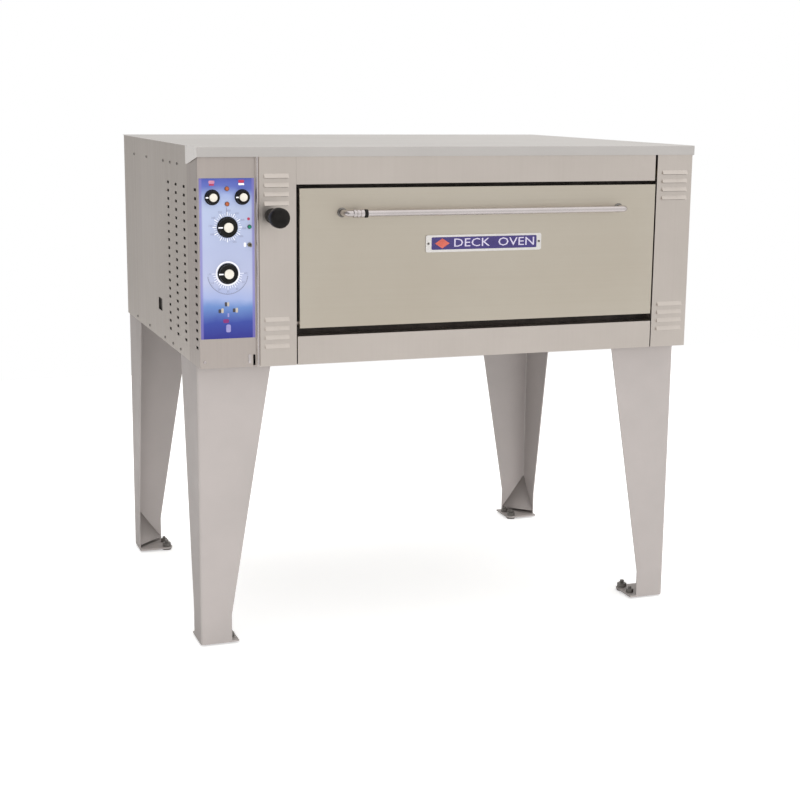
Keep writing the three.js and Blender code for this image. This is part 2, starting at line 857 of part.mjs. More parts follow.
function chamberLiner() {
  const x0 = openingLeft - linerWall;
  const x1 = openingRight + linerWall;
  const z0 = chamberFloor - linerWall;
  const z1 = chamberTop + linerWall;
  const y0 = mouthBehindFacia;
  const frame = box(doorLeft - faceFrameSide, doorRight + faceFrameSide, y0, y0 + linerWall,
    doorBottom - faceFrameBelow, doorTop + faceFrameAbove);
  const shell = box(x0, x1, y0, chamberBack + linerWall, z0, z1);
  const hollow = box(openingLeft, openingRight, y0 + linerWall, chamberBack, chamberFloor, chamberTop);
  const mouth = box(openingLeft, openingRight, y0 - cutPast, y0 + linerWall + cutPast, openingBottom,
    openingTop);
  const ductY = ductBehindFacia;
  const ductOut = insulationLeft - fit;
  const duct = box(ductOut, x0 + linerWall / 2, ductY, ductY + ductWidth, damperZ - ductHeight / 2,
    damperZ + ductHeight / 2);
  const bore = box(ductOut - cutPast, openingLeft + cutPast, ductY + linerWall,
    ductY + ductWidth - linerWall, damperZ - ductHeight / 2 + linerWall,
    damperZ + ductHeight / 2 - linerWall);
  return build([frame, shell, duct], [hollow, mouth, bore]);
}

// Five-sided blanket round the liner, open at the front.
function insulationJacket() {
  const clear = linerWall + fit;
  const outer = box(insulationLeft, insulationRight, insulationFront, chamberBack + clear + insulationRear,
    insulationBase, chamberTop + clear + insulationTop);
  const inner = box(openingLeft - clear, openingRight + clear, insulationFront - cutPast,
    chamberBack + clear, chamberFloor - clear, chamberTop + clear);
  const ductHole = box(insulationLeft - cutPast, openingLeft, ductBehindFacia - fit,
    ductBehindFacia + ductWidth + fit, damperZ - ductHeight / 2 - fit, damperZ + ductHeight / 2 + fit);
  return build([outer], [inner, ductHole]);
}

function stoneTray() {
  const x0 = openingLeft + trayClearance;
  const x1 = openingRight - trayClearance;
  const y0 = mouthBehindFacia + linerWall + trayClearance;
  const y1 = chamberBack - trayClearance;
  const z1 = stoneBottom - fit;
  const z0 = z1 - trayThickness;
  const middle = (x0 + x1) / 2;
  const windows = [
    box(x0 + trayWidth, middle - trayWidth / 2, y0 + trayWidth, y1 - trayWidth, z0 - cutPast, z1 + cutPast),
    box(middle + trayWidth / 2, x1 - trayWidth, y0 + trayWidth, y1 - trayWidth, z0 - cutPast, z1 + cutPast),
  ];
  const feet = [];
  for (const x of [x0, x1 - trayThickness]) {
    feet.push(box(x, x + trayThickness, y0, y1, chamberFloor + fit, z1));
  }
  return build([box(x0, x1, y0, y1, z0, z1), ...feet], windows);
}

function bakingStone(side) {
  const middle = (openingLeft + openingRight) / 2;
  const y0 = mouthBehindFacia + linerWall + stoneEdgeGap;
  const y1 = chamberBack - stoneEdgeGap;
  const x0 = side < 0 ? openingLeft + stoneEdgeGap : middle + stoneGap / 2;
  const x1 = side < 0 ? middle - stoneGap / 2 : openingRight - stoneEdgeGap;
  return box(x0, x1, y0, y1, stoneBottom, stoneTop);
}

// A sheathed element bent back and forth across the chamber at one height, with both ends at the rear.
function heatingElement(z) {
  const x0 = openingLeft + elementEdge;
  const x1 = openingRight - elementEdge;
  const runs = 2 * elementLoops;
  const pitch = (x1 - x0) / (runs - 1);
  const bend = pitch / 2;
  const y0 = mouthBehindFacia + elementEndGap + bend;
  const y1 = chamberBack - elementEndGap - bend;
  const tailEnd = chamberBack - fit;
  const curve = new THREE.CurvePath();
  for (let run = 0; run < runs; run += 1) {
    const x = x0 + run * pitch;
    const forward = run % 2 === 0;
    const rear = run === 0 || run === runs - 1 ? tailEnd : y1;
    const start = new THREE.Vector3(x, forward ? rear : y0, z);
    const end = new THREE.Vector3(x, forward ? y0 : rear, z);
    curve.add(new THREE.LineCurve3(start, end));
    if (run < runs - 1) {
      curve.add(new HalfTurn(x + bend, end.y, z, bend, forward ? -1 : 1));
    }
  }
  return sweptAlongPieces(curve.curves, elementRadius, 6);
}

// Half a circle in a level plane, from the left side to the right side, bulging along +Y or -Y.
class HalfTurn extends THREE.Curve {
  constructor(x, y, z, radius, side) {
    super();
    this.centre = new THREE.Vector3(x, y, z);
    this.radius = radius;
    this.side = side;
  }

  getPoint(t, target = new THREE.Vector3()) {
    const angle = Math.PI * (1 - t);
    const dx = this.radius * Math.cos(angle);
    const dy = this.radius * Math.sin(angle) * this.side;
    return target.set(this.centre.x + dx, this.centre.y + dy, this.centre.z);
  }
}

// Straight runs and bends joined into one bar.
function sweptAlongPieces(curves, radius, sides) {
  const pieces = curves.map((curve) => {
    const steps = curve instanceof THREE.LineCurve3 ? 1 : 6;
    return barAlong(curve, radius, sides, steps);
  });
  return build(pieces);
}

// ---------------------------------------------------------------- door

function doorSkin() {
  const outer = box(doorLeft, doorRight, doorFront, doorFront + doorPanDepth, doorBottom, doorTop);
  const inner = box(doorLeft + sheet, doorRight - sheet, doorFront + sheet,
    doorFront + doorPanDepth + cutPast, doorBottom + sheet, doorTop - sheet);
  return build([outer], [inner]);
}

function doorLiner() {
  const y0 = doorFront + doorPanDepth + fit;
  const outer = box(doorLeft, doorRight, y0, doorBack, doorBottom, doorTop);
  const inner = box(doorLeft + sheet, doorRight - sheet, y0 - cutPast, doorBack - sheet,
    doorBottom + sheet, doorTop - sheet);
  const pinHoles = [doorLeft, doorRight].map((x) => rodX(x - 2 * sheet, x + 2 * sheet, hingeY, hingeZ,
    pinRadius + snugFit));
  return build([outer], [inner, ...pinHoles]);
}

function doorWool() {
  const edge = sheet + fit;
  const margin = edge + armThickness + pinInDoor + fit;
  return box(doorLeft + margin, doorRight - margin, doorFront + edge, doorBack - edge,
    doorBottom + edge, doorTop - edge);
}

// Stiffener inside the door's end that carries the hinge pin.
function hingeArmLeft() {
  const x0 = doorLeft + sheet + fit;
  const y0 = doorFront + sheet + fit;
  const y1 = doorBack - sheet - fit;
  const z0 = doorBottom + sheet + fit;
  const plate = box(x0, x0 + armThickness, y0, y1, z0, z0 + armHeight);
  const foot = box(x0, x0 + pinInDoor, y0, y0 + armThickness, z0, z0 + armHeight);
  const bore = rodX(x0 - cutPast, x0 + armThickness + cutPast, hingeY, hingeZ, pinRadius + snugFit);
  return build([plate, foot], [bore]);
}

function hingePinLeft() {
  const x0 = doorLeft - pinReach;
  const x1 = doorLeft + pinInDoor;
  return build([
    rodX(x0, x1, hingeY, hingeZ, pinRadius),
    rodX(x0 - pinHead, x0, hingeY, hingeZ, pinRadius + pinHead, 6),
  ]);
}

// Fixed plate outside the post's return, with a flange against the chamber's face frame.
function hingeBracketLeft() {
  const x1 = leftPostRight - sheet - bracketBeyondPost;
  const x0 = x1 - bracketThickness;
  const y1 = mouthBehindFacia - fit;
  const y0 = hingeY - pinRadius - bracketBeforePin;
  const z0 = hingeZ - bracketHeight / 2;
  const plate = box(x0, x1, y0, y1, z0, z0 + bracketHeight);
  const flange = box(x0 - bracketFlange, x1, y1 - bracketThickness, y1, z0, z0 + bracketHeight);
  const bore = rodX(x0 - cutPast, x1 + cutPast, hingeY, hingeZ, pinRadius + pinClearance);
  return build([plate, flange], [bore]);
}

// Torsion spring round the pin, with a straight tail that rests on the bracket's flange.
class SpringCurve extends THREE.Curve {
  constructor(x) {
    super();
    this.x = x;
  }

  getPoint(t, target = new THREE.Vector3()) {
    const angle = 2 * Math.PI * springTurns * t;
    const dy = springCoilRadius * Math.cos(angle);
    const dz = springCoilRadius * Math.sin(angle);
    return target.set(this.x - springPitch * springTurns * t, hingeY + dy, hingeZ + dz);
  }
}

function doorSpringLeft() {
  const bracketFace = leftPostRight - sheet - bracketBeyondPost - bracketThickness;
  const x = bracketFace - springWireRadius - springFromBracket;
  const coil = barAlong(new SpringCurve(x), springWireRadius, 6, springTurns * springStepsPerTurn);
  const tail = rodZ(x - springPitch * springTurns, hingeY + springCoilRadius,
    hingeZ - springWireRadius, hingeZ + springTailLength, springWireRadius, 6);
  return build([coil, tail]);
}

function handleBar() {
  const x0 = doorMiddle - handleLength / 2;
  const x1 = doorMiddle + handleLength / 2;
  const z = doorTop - handleBelowDoorTop;
  const y0 = doorFront - fit;
  const y1 = doorFront - handleStandoff;
  const corner = handleBend;
  const curve = new THREE.CurvePath();
  curve.add(new THREE.LineCurve3(new THREE.Vector3(x0, y0, z), new THREE.Vector3(x0, y1 + corner, z)));
  curve.add(new THREE.QuadraticBezierCurve3(new THREE.Vector3(x0, y1 + corner, z),
    new THREE.Vector3(x0, y1, z), new THREE.Vector3(x0 + corner, y1, z)));
  curve.add(new THREE.LineCurve3(new THREE.Vector3(x0 + corner, y1, z),
    new THREE.Vector3(x1 - corner, y1, z)));
  curve.add(new THREE.QuadraticBezierCurve3(new THREE.Vector3(x1 - corner, y1, z),
    new THREE.Vector3(x1, y1, z), new THREE.Vector3(x1, y1 + corner, z)));
  curve.add(new THREE.LineCurve3(new THREE.Vector3(x1, y1 + corner, z), new THREE.Vector3(x1, y0, z)));
  return sweptAlongPieces(curve.curves, handleRadius, 16);
}

// Short sleeve that slides over the bar's left end.
function handleSleeve() {
  const x0 = doorMiddle - handleLength / 2 + sleeveFromEnd;
  const y = doorFront - handleStandoff;
  const z = doorTop - handleBelowDoorTop;
  return build([rodX(x0, x0 + sleeveLength, y, z, sleeveRadius, 20)],
    [rodX(x0 - cutPast, x0 + sleeveLength + cutPast, y, z, handleRadius + snugFit, 16)]);
}

function nameplate() {
  const z = doorTop - plateBelowDoorTop;
  return box(doorMiddle - plateWidth / 2, doorMiddle + plateWidth / 2,
    doorFront - fit - plateThickness, doorFront - fit, z - plateHeight / 2, z + plateHeight / 2);
}

// ---------------------------------------------------------------- controls

// A round knob with a raised cap, a pointer notch on its left, and its shaft behind.
function controlKnob(column, rise, radius) {
  const x = left + column;
  const z = bottom + rise;
  const behind = plateFace - controlRecess - sheet - shaftReach;
  const profile = [
    [0, behind],
    [shaftRadius, behind],
    [shaftRadius, 0],
    [radius, 0],
    [radius, knobSkirt],
    [radius - knobTaper, knobHeight],
    [capRadius + capTaper, knobHeight],
    [capRadius, knobHeight + capHeight],
    [0, knobHeight + capHeight],
  ];
  const knob = turnedForward(profile, x, plateFace, z);
  const notch = box(x - radius - cutPast, x - capRadius - notchFromCap, plateFace - knobHeight - cutPast,
    plateFace - notchFloor, z - notchWidth / 2, z + notchWidth / 2);
  return build([knob], [notch]);
}

// A round lens with a domed front and a neck through the panel.
function pilotLamp(column, rise, radius, neck) {
  const dome = [];
  for (let step = 0; step < lampDomeSteps; step += 1) {
    const angle = (Math.PI / 2) * (step / lampDomeSteps);
    dome.push([radius * Math.cos(angle), lampRim + (radius / 2) * Math.sin(angle)]);
  }
  dome.push([0, lampRim + radius / 2]);
  const profile = [[0, -lampReach], [neck, -lampReach], [neck, 0], [radius, 0], ...dome];
  return turnedForward(profile, left + column, plateFace, bottom + rise, 16);
}

function powerSwitch() {
  const x = left + powerColumn;
  const z = bottom + powerSwitchRise;
  const [width, depth, height] = powerSwitchSize;
  const back = controlRecess + sheet + fit;
  const frontFace = plateFace - toggleBushProud;
  return build(
    [
      box(x - width / 2, x + width / 2, back, back + depth, z - height / 2, z + height / 2),
      rodY(x, frontFace, back + cutPast, z, toggleBushRadius, 20),
    ],
    [rodY(x, frontFace - cutPast, plateFace, z, toggleBushBore, 16)],
  );
}

function powerToggle() {
  const x = left + powerColumn;
  const z = bottom + powerSwitchRise;
  const pivot = plateFace - togglePivot;
  const tip = new THREE.SphereGeometry(toggleTipRadius, 12, 8);
  tip.translate(0, -toggleLength, 0);
  const lever = build([rodY(0, -toggleLength, 0, 0, toggleRadius, 12), tip]);
  lever.rotateX(THREE.MathUtils.degToRad(-toggleTilt));
  lever.translate(x, pivot, z);
  return lever;
}

// A switch body behind the control panel, with a bore that the knob's shaft turns in.
function switchBody(column, rise, size) {
  const [width, depth, height] = size;
  const x = left + column;
  const z = bottom + rise;
  const y0 = controlRecess + sheet + fit;
  const body = box(x - width / 2, x + width / 2, y0, y0 + depth, z - height / 2, z + height / 2);
  const bore = rodY(x, y0 - cutPast, y0 + shaftReach + shaftRadius, z, shaftHole, 12);
  return build([body], [bore]);
}

function contactor() {
  const [width, depth, height] = contactorSize;
  const x = left + middleColumn;
  const z0 = bottom + sheet + fit;
  const y0 = contactorBehind;
  const lugs = [];
  const lugTop = z0 + height - lugFromTop;
  for (let lug = 0; lug < contactorLugs; lug += 1) {
    const lugLeft = x - width / 2 + lugFromEdge + lug * lugPitch;
    lugs.push(box(lugLeft, lugLeft + lugWidth, y0 - lugProud, y0 + lugRoot, lugTop - lugHeight, lugTop));
  }
  return build([box(x - width / 2, x + width / 2, y0, y0 + depth, z0, z0 + height), ...lugs]);
}

// ---------------------------------------------------------------- damper

function damperBush() {
  const profile = [
    [damperBushBore, -damperBushBack],
    [damperBushNeck, -damperBushBack],
    [damperBushNeck, fit],
    [damperBushRadius, fit],
    [damperBushRadius, damperBushRim],
    [damperBushFront, damperBushLength],
    [damperBushBore, damperBushLength],
    [damperBushBore, -damperBushBack],
  ];
  return turnedForward(profile, damperX, 0, damperZ);
}

function damperKnob() {
  const back = damperKnobFront - damperKnobLength;
  const radius = damperKnobRadius;
  const profile = [
    [0, back + damperRodSeat],
    [damperRodRadius + fit, back + damperRodSeat],
    [damperRodRadius + fit, back],
    [damperNeckRadius, back],
    [damperNeckRadius + 1, back + 6],
    [radius, back + 16],
    [radius, damperKnobFront - 8],
    [radius - 2, damperKnobFront - 3],
    [radius - 6, damperKnobFront],
    [0, damperKnobFront],
  ];
  return turnedForward(profile, damperX, 0, damperZ);
}

// Rod from the knob to the sliding plate that covers the flue duct's mouth.
function damperRod() {
  const front = -(damperKnobFront - damperKnobLength + damperRodSeat - fit);
  const plateY0 = ductBehindFacia - damperPlateMargin;
  const plateY1 = ductBehindFacia + ductWidth + damperPlateMargin;
  const plateX1 = insulationLeft - 3 * fit;
  const plateX0 = plateX1 - sheet;
  const half = ductHeight / 2 + damperPlateMargin;
  return build([
    rodY(damperX, front, plateY1 - damperPlateMargin, damperZ, damperRodRadius),
    box(plateX0, plateX1, plateY0, plateY1, damperZ - half, damperZ + half),
    box(damperX, plateX1, ductBehindFacia, ductBehindFacia + damperLinkWidth,
      damperZ - damperLinkHeight / 2, damperZ + damperLinkHeight / 2),
  ]);
}

// ---------------------------------------------------------------- assembly

addPiece('left_side_panel', leftSidePanel(), brushedSteel());
addPiece('right_side_panel', rightSidePanel(), brushedSteel());
addPiece('rear_panel', rearPanel(), brushedSteel());
addPiece('base_pan', basePan(), plainSteel());
addPiece('base_rail_left', baseRail(insulationLeft + railInset), plainSteel());
addPiece('base_rail_right', baseRail(insulationRight - railInset), plainSteel());
addPiece('top_cover', topCover(), brushedSteel());
addPiece('control_panel', controlPanel(), brushedSteel());
addPiece('graphic_plate', graphicPlate(), graphicBlue());
addPiece('left_post', leftPost(), brushedSteel());
addPiece('right_post', rightPost(), brushedSteel());
addPiece('header_panel', headerPanel(), brushedSteel());
addPiece('sill_panel', sillPanel(), brushedSteel());
addPiece('conduit_gland', conduitGland(), plainSteel());

const frontLeftLeg = legAtLeftFront();
const frontLeftLeveller = levellerAtLeftFront();
addPiece('leg_front_left', frontLeftLeg, legPaint());
addPiece('leg_front_right', mirrored(frontLeftLeg), legPaint());
addPiece('leg_rear_right', turnedToRear(frontLeftLeg), legPaint());
addPiece('leg_rear_left', turnedToRear(mirrored(frontLeftLeg)), legPaint());
addPiece('leveller_front_left', frontLeftLeveller, chrome());
addPiece('leveller_front_right', mirrored(frontLeftLeveller), chrome());
addPiece('leveller_rear_right', turnedToRear(frontLeftLeveller), chrome());
addPiece('leveller_rear_left', turnedToRear(mirrored(frontLeftLeveller)), chrome());

addPiece('chamber_liner', chamberLiner(), plainSteel());
addPiece('insulation_jacket', insulationJacket(), mineralWool());
addPiece('stone_tray', stoneTray(), plainSteel());
addPiece('baking_stone_left', bakingStone(-1), ceramicStone());
addPiece('baking_stone_right', bakingStone(1), ceramicStone());
addPiece('upper_element', heatingElement(chamberTop - upperElementDrop), heaterSheath());
addPiece('lower_element', heatingElement(chamberFloor + lowerElementRise), heaterSheath());

// The door's right-hand hinge pieces mirror the left ones about the door's own middle.
function acrossDoor(geometry) {
  const moved = mirrored(geometry);
  moved.translate(2 * doorMiddle, 0, 0);
  return moved;
}

addPiece('door_skin', doorSkin(), doorSteel());
addPiece('door_liner', doorLiner(), plainSteel());
addPiece('door_wool', doorWool(), mineralWool());
addPiece('hinge_arm_left', hingeArmLeft(), plainSteel());
addPiece('hinge_arm_right', acrossDoor(hingeArmLeft()), plainSteel());
addPiece('hinge_pin_left', hingePinLeft(), chrome());
addPiece('hinge_pin_right', acrossDoor(hingePinLeft()), chrome());
addPiece('hinge_bracket_left', hingeBracketLeft(), plainSteel());
addPiece('hinge_bracket_right', acrossDoor(hingeBracketLeft()), plainSteel());
addPiece('door_spring_left', doorSpringLeft(), plainSteel());
addPiece('door_spring_right', acrossDoor(doorSpringLeft()), plainSteel());
addPiece('handle_bar', handleBar(), chrome());
addPiece('handle_sleeve', handleSleeve(), chrome());
addPiece('nameplate', nameplate(), brassPlate());

addPiece('top_heat_knob', controlKnob(topHeatColumn, topKnobRise, smallKnobRadius), blackPlastic());
addPiece('bottom_heat_knob', controlKnob(bottomHeatColumn, topKnobRise, smallKnobRadius), blackPlastic());
addPiece('thermostat_knob', controlKnob(middleColumn, thermostatRise, bigKnobRadius), blackPlastic());
addPiece('timer_knob', controlKnob(middleColumn, timerRise, bigKnobRadius), blackPlastic());
addPiece('top_heat_switch', switchBody(topHeatColumn, topKnobRise, heatSwitchSize), moulding());
addPiece('bottom_heat_switch', switchBody(bottomHeatColumn, topKnobRise, heatSwitchSize), moulding());
addPiece('thermostat', switchBody(middleColumn, thermostatRise, thermostatSize), moulding());
addPiece('timer', switchBody(middleColumn, timerRise, timerSize), moulding());
addPiece('contactor', contactor(), moulding());
addPiece('upper_pilot_lamp', pilotLamp(middleColumn, upperLampRise, lampRadius, lampNeckRadius), amberLens());
addPiece('lower_pilot_lamp', pilotLamp(middleColumn, lowerLampRise, lampRadius, lampNeckRadius), amberLens());
addPiece('power_lamp', pilotLamp(powerColumn, powerLampRise, powerLampRadius, powerLampNeckRadius),
  greenLens());
addPiece('power_switch', powerSwitch(), moulding());
addPiece('power_toggle', powerToggle(), chrome());

addPiece('damper_bush', damperBush(), plainSteel());
addPiece('damper_knob', damperKnob(), blackPlastic());
addPiece('damper_rod', damperRod(), chrome());

export default oven;
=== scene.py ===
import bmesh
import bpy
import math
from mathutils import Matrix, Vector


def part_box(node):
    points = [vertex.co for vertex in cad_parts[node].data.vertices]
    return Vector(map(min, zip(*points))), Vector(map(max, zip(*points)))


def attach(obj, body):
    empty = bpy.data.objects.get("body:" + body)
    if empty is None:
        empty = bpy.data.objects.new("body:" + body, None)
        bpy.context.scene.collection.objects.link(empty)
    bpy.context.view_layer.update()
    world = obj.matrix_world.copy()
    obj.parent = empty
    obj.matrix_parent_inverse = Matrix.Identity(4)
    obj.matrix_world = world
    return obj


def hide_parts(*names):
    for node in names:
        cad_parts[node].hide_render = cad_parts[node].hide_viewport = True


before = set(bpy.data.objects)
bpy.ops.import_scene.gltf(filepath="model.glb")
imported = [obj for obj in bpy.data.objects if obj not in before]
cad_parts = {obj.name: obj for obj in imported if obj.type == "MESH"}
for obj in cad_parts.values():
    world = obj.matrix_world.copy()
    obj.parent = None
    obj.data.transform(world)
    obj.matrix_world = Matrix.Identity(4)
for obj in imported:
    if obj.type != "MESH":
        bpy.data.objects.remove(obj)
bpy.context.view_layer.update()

# %% [markdown]
# # A deck oven, part by part
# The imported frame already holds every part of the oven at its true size: sheet panels, door,
# legs, chamber and controls.  This lesson gives each part its finish and swaps the simplest
# solids for pieces with the small shapes a maker would recognise: fluted knobs, a turned
# handle coupling, printed scales, screws and rounded folds.
# Everything is in metres, the front faces -Y, and the floor is at Z = 0.

MM = 0.001
scene = bpy.context.scene

# %% [markdown]
# ## The camera
# A long lens from the left front corner, a little above the lid.  The camera is placed by its
# compass heading, its dip below the horizon and a slight roll, and its matrix is built from
# those three, because that is easier to adjust than three Euler angles that depend on each other.

# %% Camera
CAMERA_PLACE = Vector((-1.50746, -4.27671, 1.45744))
LENS_LENGTH, SENSOR_WIDTH = 68.85, 36
heading, dip, roll = (math.radians(angle) for angle in (19.69, 11.34, -0.56))
ahead = Vector((math.sin(heading) * math.cos(dip), math.cos(heading) * math.cos(dip), -math.sin(dip)))
level = Vector((math.cos(heading), -math.sin(heading), 0))
below = ahead.cross(level)
across = math.cos(roll) * level + math.sin(roll) * below
down = math.cos(roll) * below - math.sin(roll) * level
lens = bpy.data.cameras.new("camera")
lens.lens, lens.sensor_width = LENS_LENGTH, SENSOR_WIDTH
camera = bpy.data.objects.new("camera", lens)
scene.collection.objects.link(camera)
turn = Matrix((across, -down, -ahead)).transposed().to_4x4()
camera.matrix_world = Matrix.Translation(CAMERA_PLACE) @ turn
scene.camera = camera
print("camera at", [round(v, 3) for v in CAMERA_PLACE])

# %% [markdown]
# ## Nodes in short form
# World, floor and finishes are all built from the same few nodes.  `add_node` makes any node
# and fills its sockets with values or links.  The others give back the output of the nodes
# used most: Map Range, Math, the two kinds of Mix, and Noise.

# %% Node helpers
def add_node(tree, kind, sockets=None, **settings):
    """One node, with its settings, and its sockets given as values or as links."""
    node = tree.nodes.new(kind)
    for key, value in settings.items():
        setattr(node, key, value)
    for key, value in (sockets or {}).items():
        if isinstance(value, bpy.types.NodeSocket):
            tree.links.new(value, node.inputs[key])
        else:
            node.inputs[key].default_value = value
    return node


def span(tree, value, start, stop, low=0.0, high=1.0):
    """Value from start to stop becomes low to high."""
    return add_node(tree, "ShaderNodeMapRange", {"Value": value, "From Min": start, "From Max": stop,
                                                 "To Min": low, "To Max": high}).outputs[0]


def reckon(tree, operation, *values):
    """One arithmetic step."""
    return add_node(tree, "ShaderNodeMath", dict(enumerate(values)), operation=operation).outputs[0]


def mix_values(tree, share, first, second):
    """A number between two others."""
    return add_node(tree, "ShaderNodeMix", {"Factor": share, "A": first, "B": second},
                    data_type="FLOAT").outputs[0]


def mix_colours(tree, share, first, second):
    """A colour between two others, each given as a colour or a link."""
    return add_node(tree, "ShaderNodeMix", {"Factor": share, 6: first, 7: second},
                    data_type="RGBA").outputs[2]


def noise(tree, vector, scale, detail, roughness=0.5):
    """Soft noise on given coordinates."""
    return add_node(tree, "ShaderNodeTexNoise", {"Vector": vector, "Scale": scale, "Detail": detail,
                                                 "Roughness": roughness}).outputs[0]


print("node helpers ready")

# %% [markdown]
# ## Room, floor and light
# Satin steel shows the room more than its own colour, so the room is painted into the world:
# each direction has its own brightness, with a bright ceiling, a dim left wall and one pale
# strip low on the left that picks out the folds.  Softboxes add soft shadows, and are kept out
# of reflections so that they leave no hard edges in the steel.  The floor is plain and pale.
# Only what the camera sees of it directly is lifted to white, so that the floor does not
# flood the steel from below.

# %% Room
FRONT_WALL, BACK_LEFT, BACK_RIGHT, CEILING, UNDER_FLOOR = 0.8, 0.47, 0.8, 1.05, 0.46
LEFT_WALL, LEFT_STRIP = 0.24, 0.95
WALL_COLOUR = (1.0, 0.985, 0.965, 1)
scene.view_settings.view_transform = "Standard"
world = bpy.data.worlds.new("room")
scene.world = world
world.use_nodes = True
sky = world.node_tree
sky.nodes.clear()
sight = add_node(sky, "ShaderNodeLightPath")
compass = add_node(sky, "ShaderNodeTexCoord")
east, north, up = add_node(sky, "ShaderNodeSeparateXYZ", {0: compass.outputs["Generated"]}).outputs
back = span(sky, east, -0.4, 0.4, BACK_LEFT, BACK_RIGHT)
light = mix_values(sky, span(sky, north, -0.3, 0.5), FRONT_WALL, back)
light = mix_values(sky, span(sky, up, 0.3, 0.75), light, CEILING)
light = mix_values(sky, span(sky, up, -0.1, -0.9), light, UNDER_FLOOR)
light = mix_values(sky, span(sky, east, -0.45, -0.75), light, LEFT_WALL)
strip = reckon(sky, "MULTIPLY", span(sky, east, -0.86, -0.9, 0.0, LEFT_STRIP), span(sky, up, 0.12, 0.0))
light = reckon(sky, "ADD", light, strip)
walls = add_node(sky, "ShaderNodeBackground", {"Color": WALL_COLOUR, "Strength": light})
white = add_node(sky, "ShaderNodeBackground", {"Color": (1, 1, 1, 1), "Strength": 1.0})
room = add_node(sky, "ShaderNodeMixShader",
                {"Fac": sight.outputs["Is Camera Ray"], 1: walls.outputs[0], 2: white.outputs[0]})
add_node(sky, "ShaderNodeOutputWorld", {"Surface": room.outputs[0]})
print("room painted")

# %% Floor
FLOOR_HALF = 3.6
FLOOR_LIFT = 0.5
floor_shape = bmesh.new()
bmesh.ops.create_grid(floor_shape, x_segments=1, y_segments=1, size=FLOOR_HALF)
floor_mesh = bpy.data.meshes.new("floor")
floor_shape.to_mesh(floor_mesh)
floor_shape.free()
floor = bpy.data.objects.new("floor", floor_mesh)
scene.collection.objects.link(floor)
paper = bpy.data.materials.new("pale_floor")
paper.use_nodes = True
tree = paper.node_tree
tree.nodes.clear()
seen = add_node(tree, "ShaderNodeLightPath")
mottle = add_node(tree, "ShaderNodeTexNoise", {"Scale": 3.0, "Detail": 3.0})
dull = add_node(tree, "ShaderNodeBsdfDiffuse", {"Color": span(tree, mottle.outputs[0], 0.0, 1.0, 0.81, 0.85)})
lift = reckon(tree, "MULTIPLY", seen.outputs["Is Camera Ray"], FLOOR_LIFT)
glow = add_node(tree, "ShaderNodeEmission", {"Strength": lift})
both = add_node(tree, "ShaderNodeAddShader", {0: dull.outputs[0], 1: glow.outputs[0]})
add_node(tree, "ShaderNodeOutputMaterial", {"Surface": both.outputs[0]})
floor.data.materials.append(paper)
print("floor", 2 * FLOOR_HALF, "m square")

# %% Softboxes
SOFTBOXES = {  # place, aim, width, height, watts, colour
    "ceiling_box": ((0.4, 0.6, 4.2), (0, 0, 1.2), 4.5, 3.5, 70, (1, 0.99, 0.98)),
    "front_box": ((2.0, -12.0, 2.6), (0, 0, 0.6), 8.6, 4.6, 375, (1, 0.985, 0.97)),
    "low_fill": ((-3.2, -12.0, 0.8), (-0.2, 0.4, 0.35), 6.6, 1.6, 300, (1, 1, 1)),
    "left_box": ((-4.2, -0.8, 1.6), (-0.4, 0, 0.6), 1.6, 2.6, 5, (1, 1, 1)),
}
for name, (place, aim, width, height, watts, colour) in SOFTBOXES.items():
    lamp = bpy.data.lights.new(name, "AREA")
    lamp.shape = "RECTANGLE"
    lamp.size, lamp.size_y, lamp.energy, lamp.color = width, height, watts, colour
    fixture = bpy.data.objects.new(name, lamp)
    fixture.location = place
    fixture.rotation_euler = (Vector(aim) - Vector(place)).to_track_quat("-Z", "Y").to_euler()
    fixture.visible_glossy = False
    scene.collection.objects.link(fixture)
print("softboxes:", list(SOFTBOXES))

# %% [markdown]
# ## Shared shader groups
# Three effects come back in nearly every finish, so each is a node group built once:
# the streaks that a belt sander leaves, the faint uneven tone of rolled or painted sheet,
# and the dust that settles on upward faces.  A group gives out only values; the
# Principled shader stays in each material.

# %% Group helpers
def value_group(name, inputs, outputs):
    """An empty node group with named inputs (name, default) and float outputs."""
    group = bpy.data.node_groups.new(name, "ShaderNodeTree")
    for label, default in inputs:
        kind = "NodeSocketVector" if isinstance(default, tuple) else "NodeSocketFloat"
        socket = group.interface.new_socket(name=label, in_out="INPUT", socket_type=kind)
        socket.default_value = default
    for label in outputs:
        group.interface.new_socket(name=label, in_out="OUTPUT", socket_type="NodeSocketFloat")
    given, result = group.nodes.new("NodeGroupInput"), group.nodes.new("NodeGroupOutput")
    place = add_node(group, "ShaderNodeTexCoord").outputs["Object"]
    return group, given.outputs, result.inputs, place


def use_group(tree, group, sockets):
    """A node group placed in a material, with its own values."""
    node = tree.nodes.new("ShaderNodeGroup")
    node.node_tree = group
    for key, value in sockets.items():
        node.inputs[key].default_value = value
    return node.outputs


# %% Brushed streaks
brushed, given, result, place = value_group("brushed_streaks", [("Stretch", (4.0, 4.0, 900.0))], ["Streaks"])
drawn = add_node(brushed, "ShaderNodeVectorMath", {0: place, 1: given["Stretch"]}, operation="MULTIPLY").outputs[0]
both_scales = reckon(brushed, "ADD", noise(brushed, drawn, 1.0, 3.0, 0.65), noise(brushed, drawn, 0.22, 2.0))
brushed.links.new(reckon(brushed, "MULTIPLY", both_scales, 0.5), result["Streaks"])

# %% Uneven tone
SPECK_SCALE = 420.0
uneven, given, result, place = value_group("uneven_tone", [("Patch", 3.0)], ["Tone", "Specks"])
uneven.links.new(noise(uneven, place, given["Patch"], 4.0, 0.55), result["Tone"])
uneven.links.new(noise(uneven, place, SPECK_SCALE, 2.0), result["Specks"])

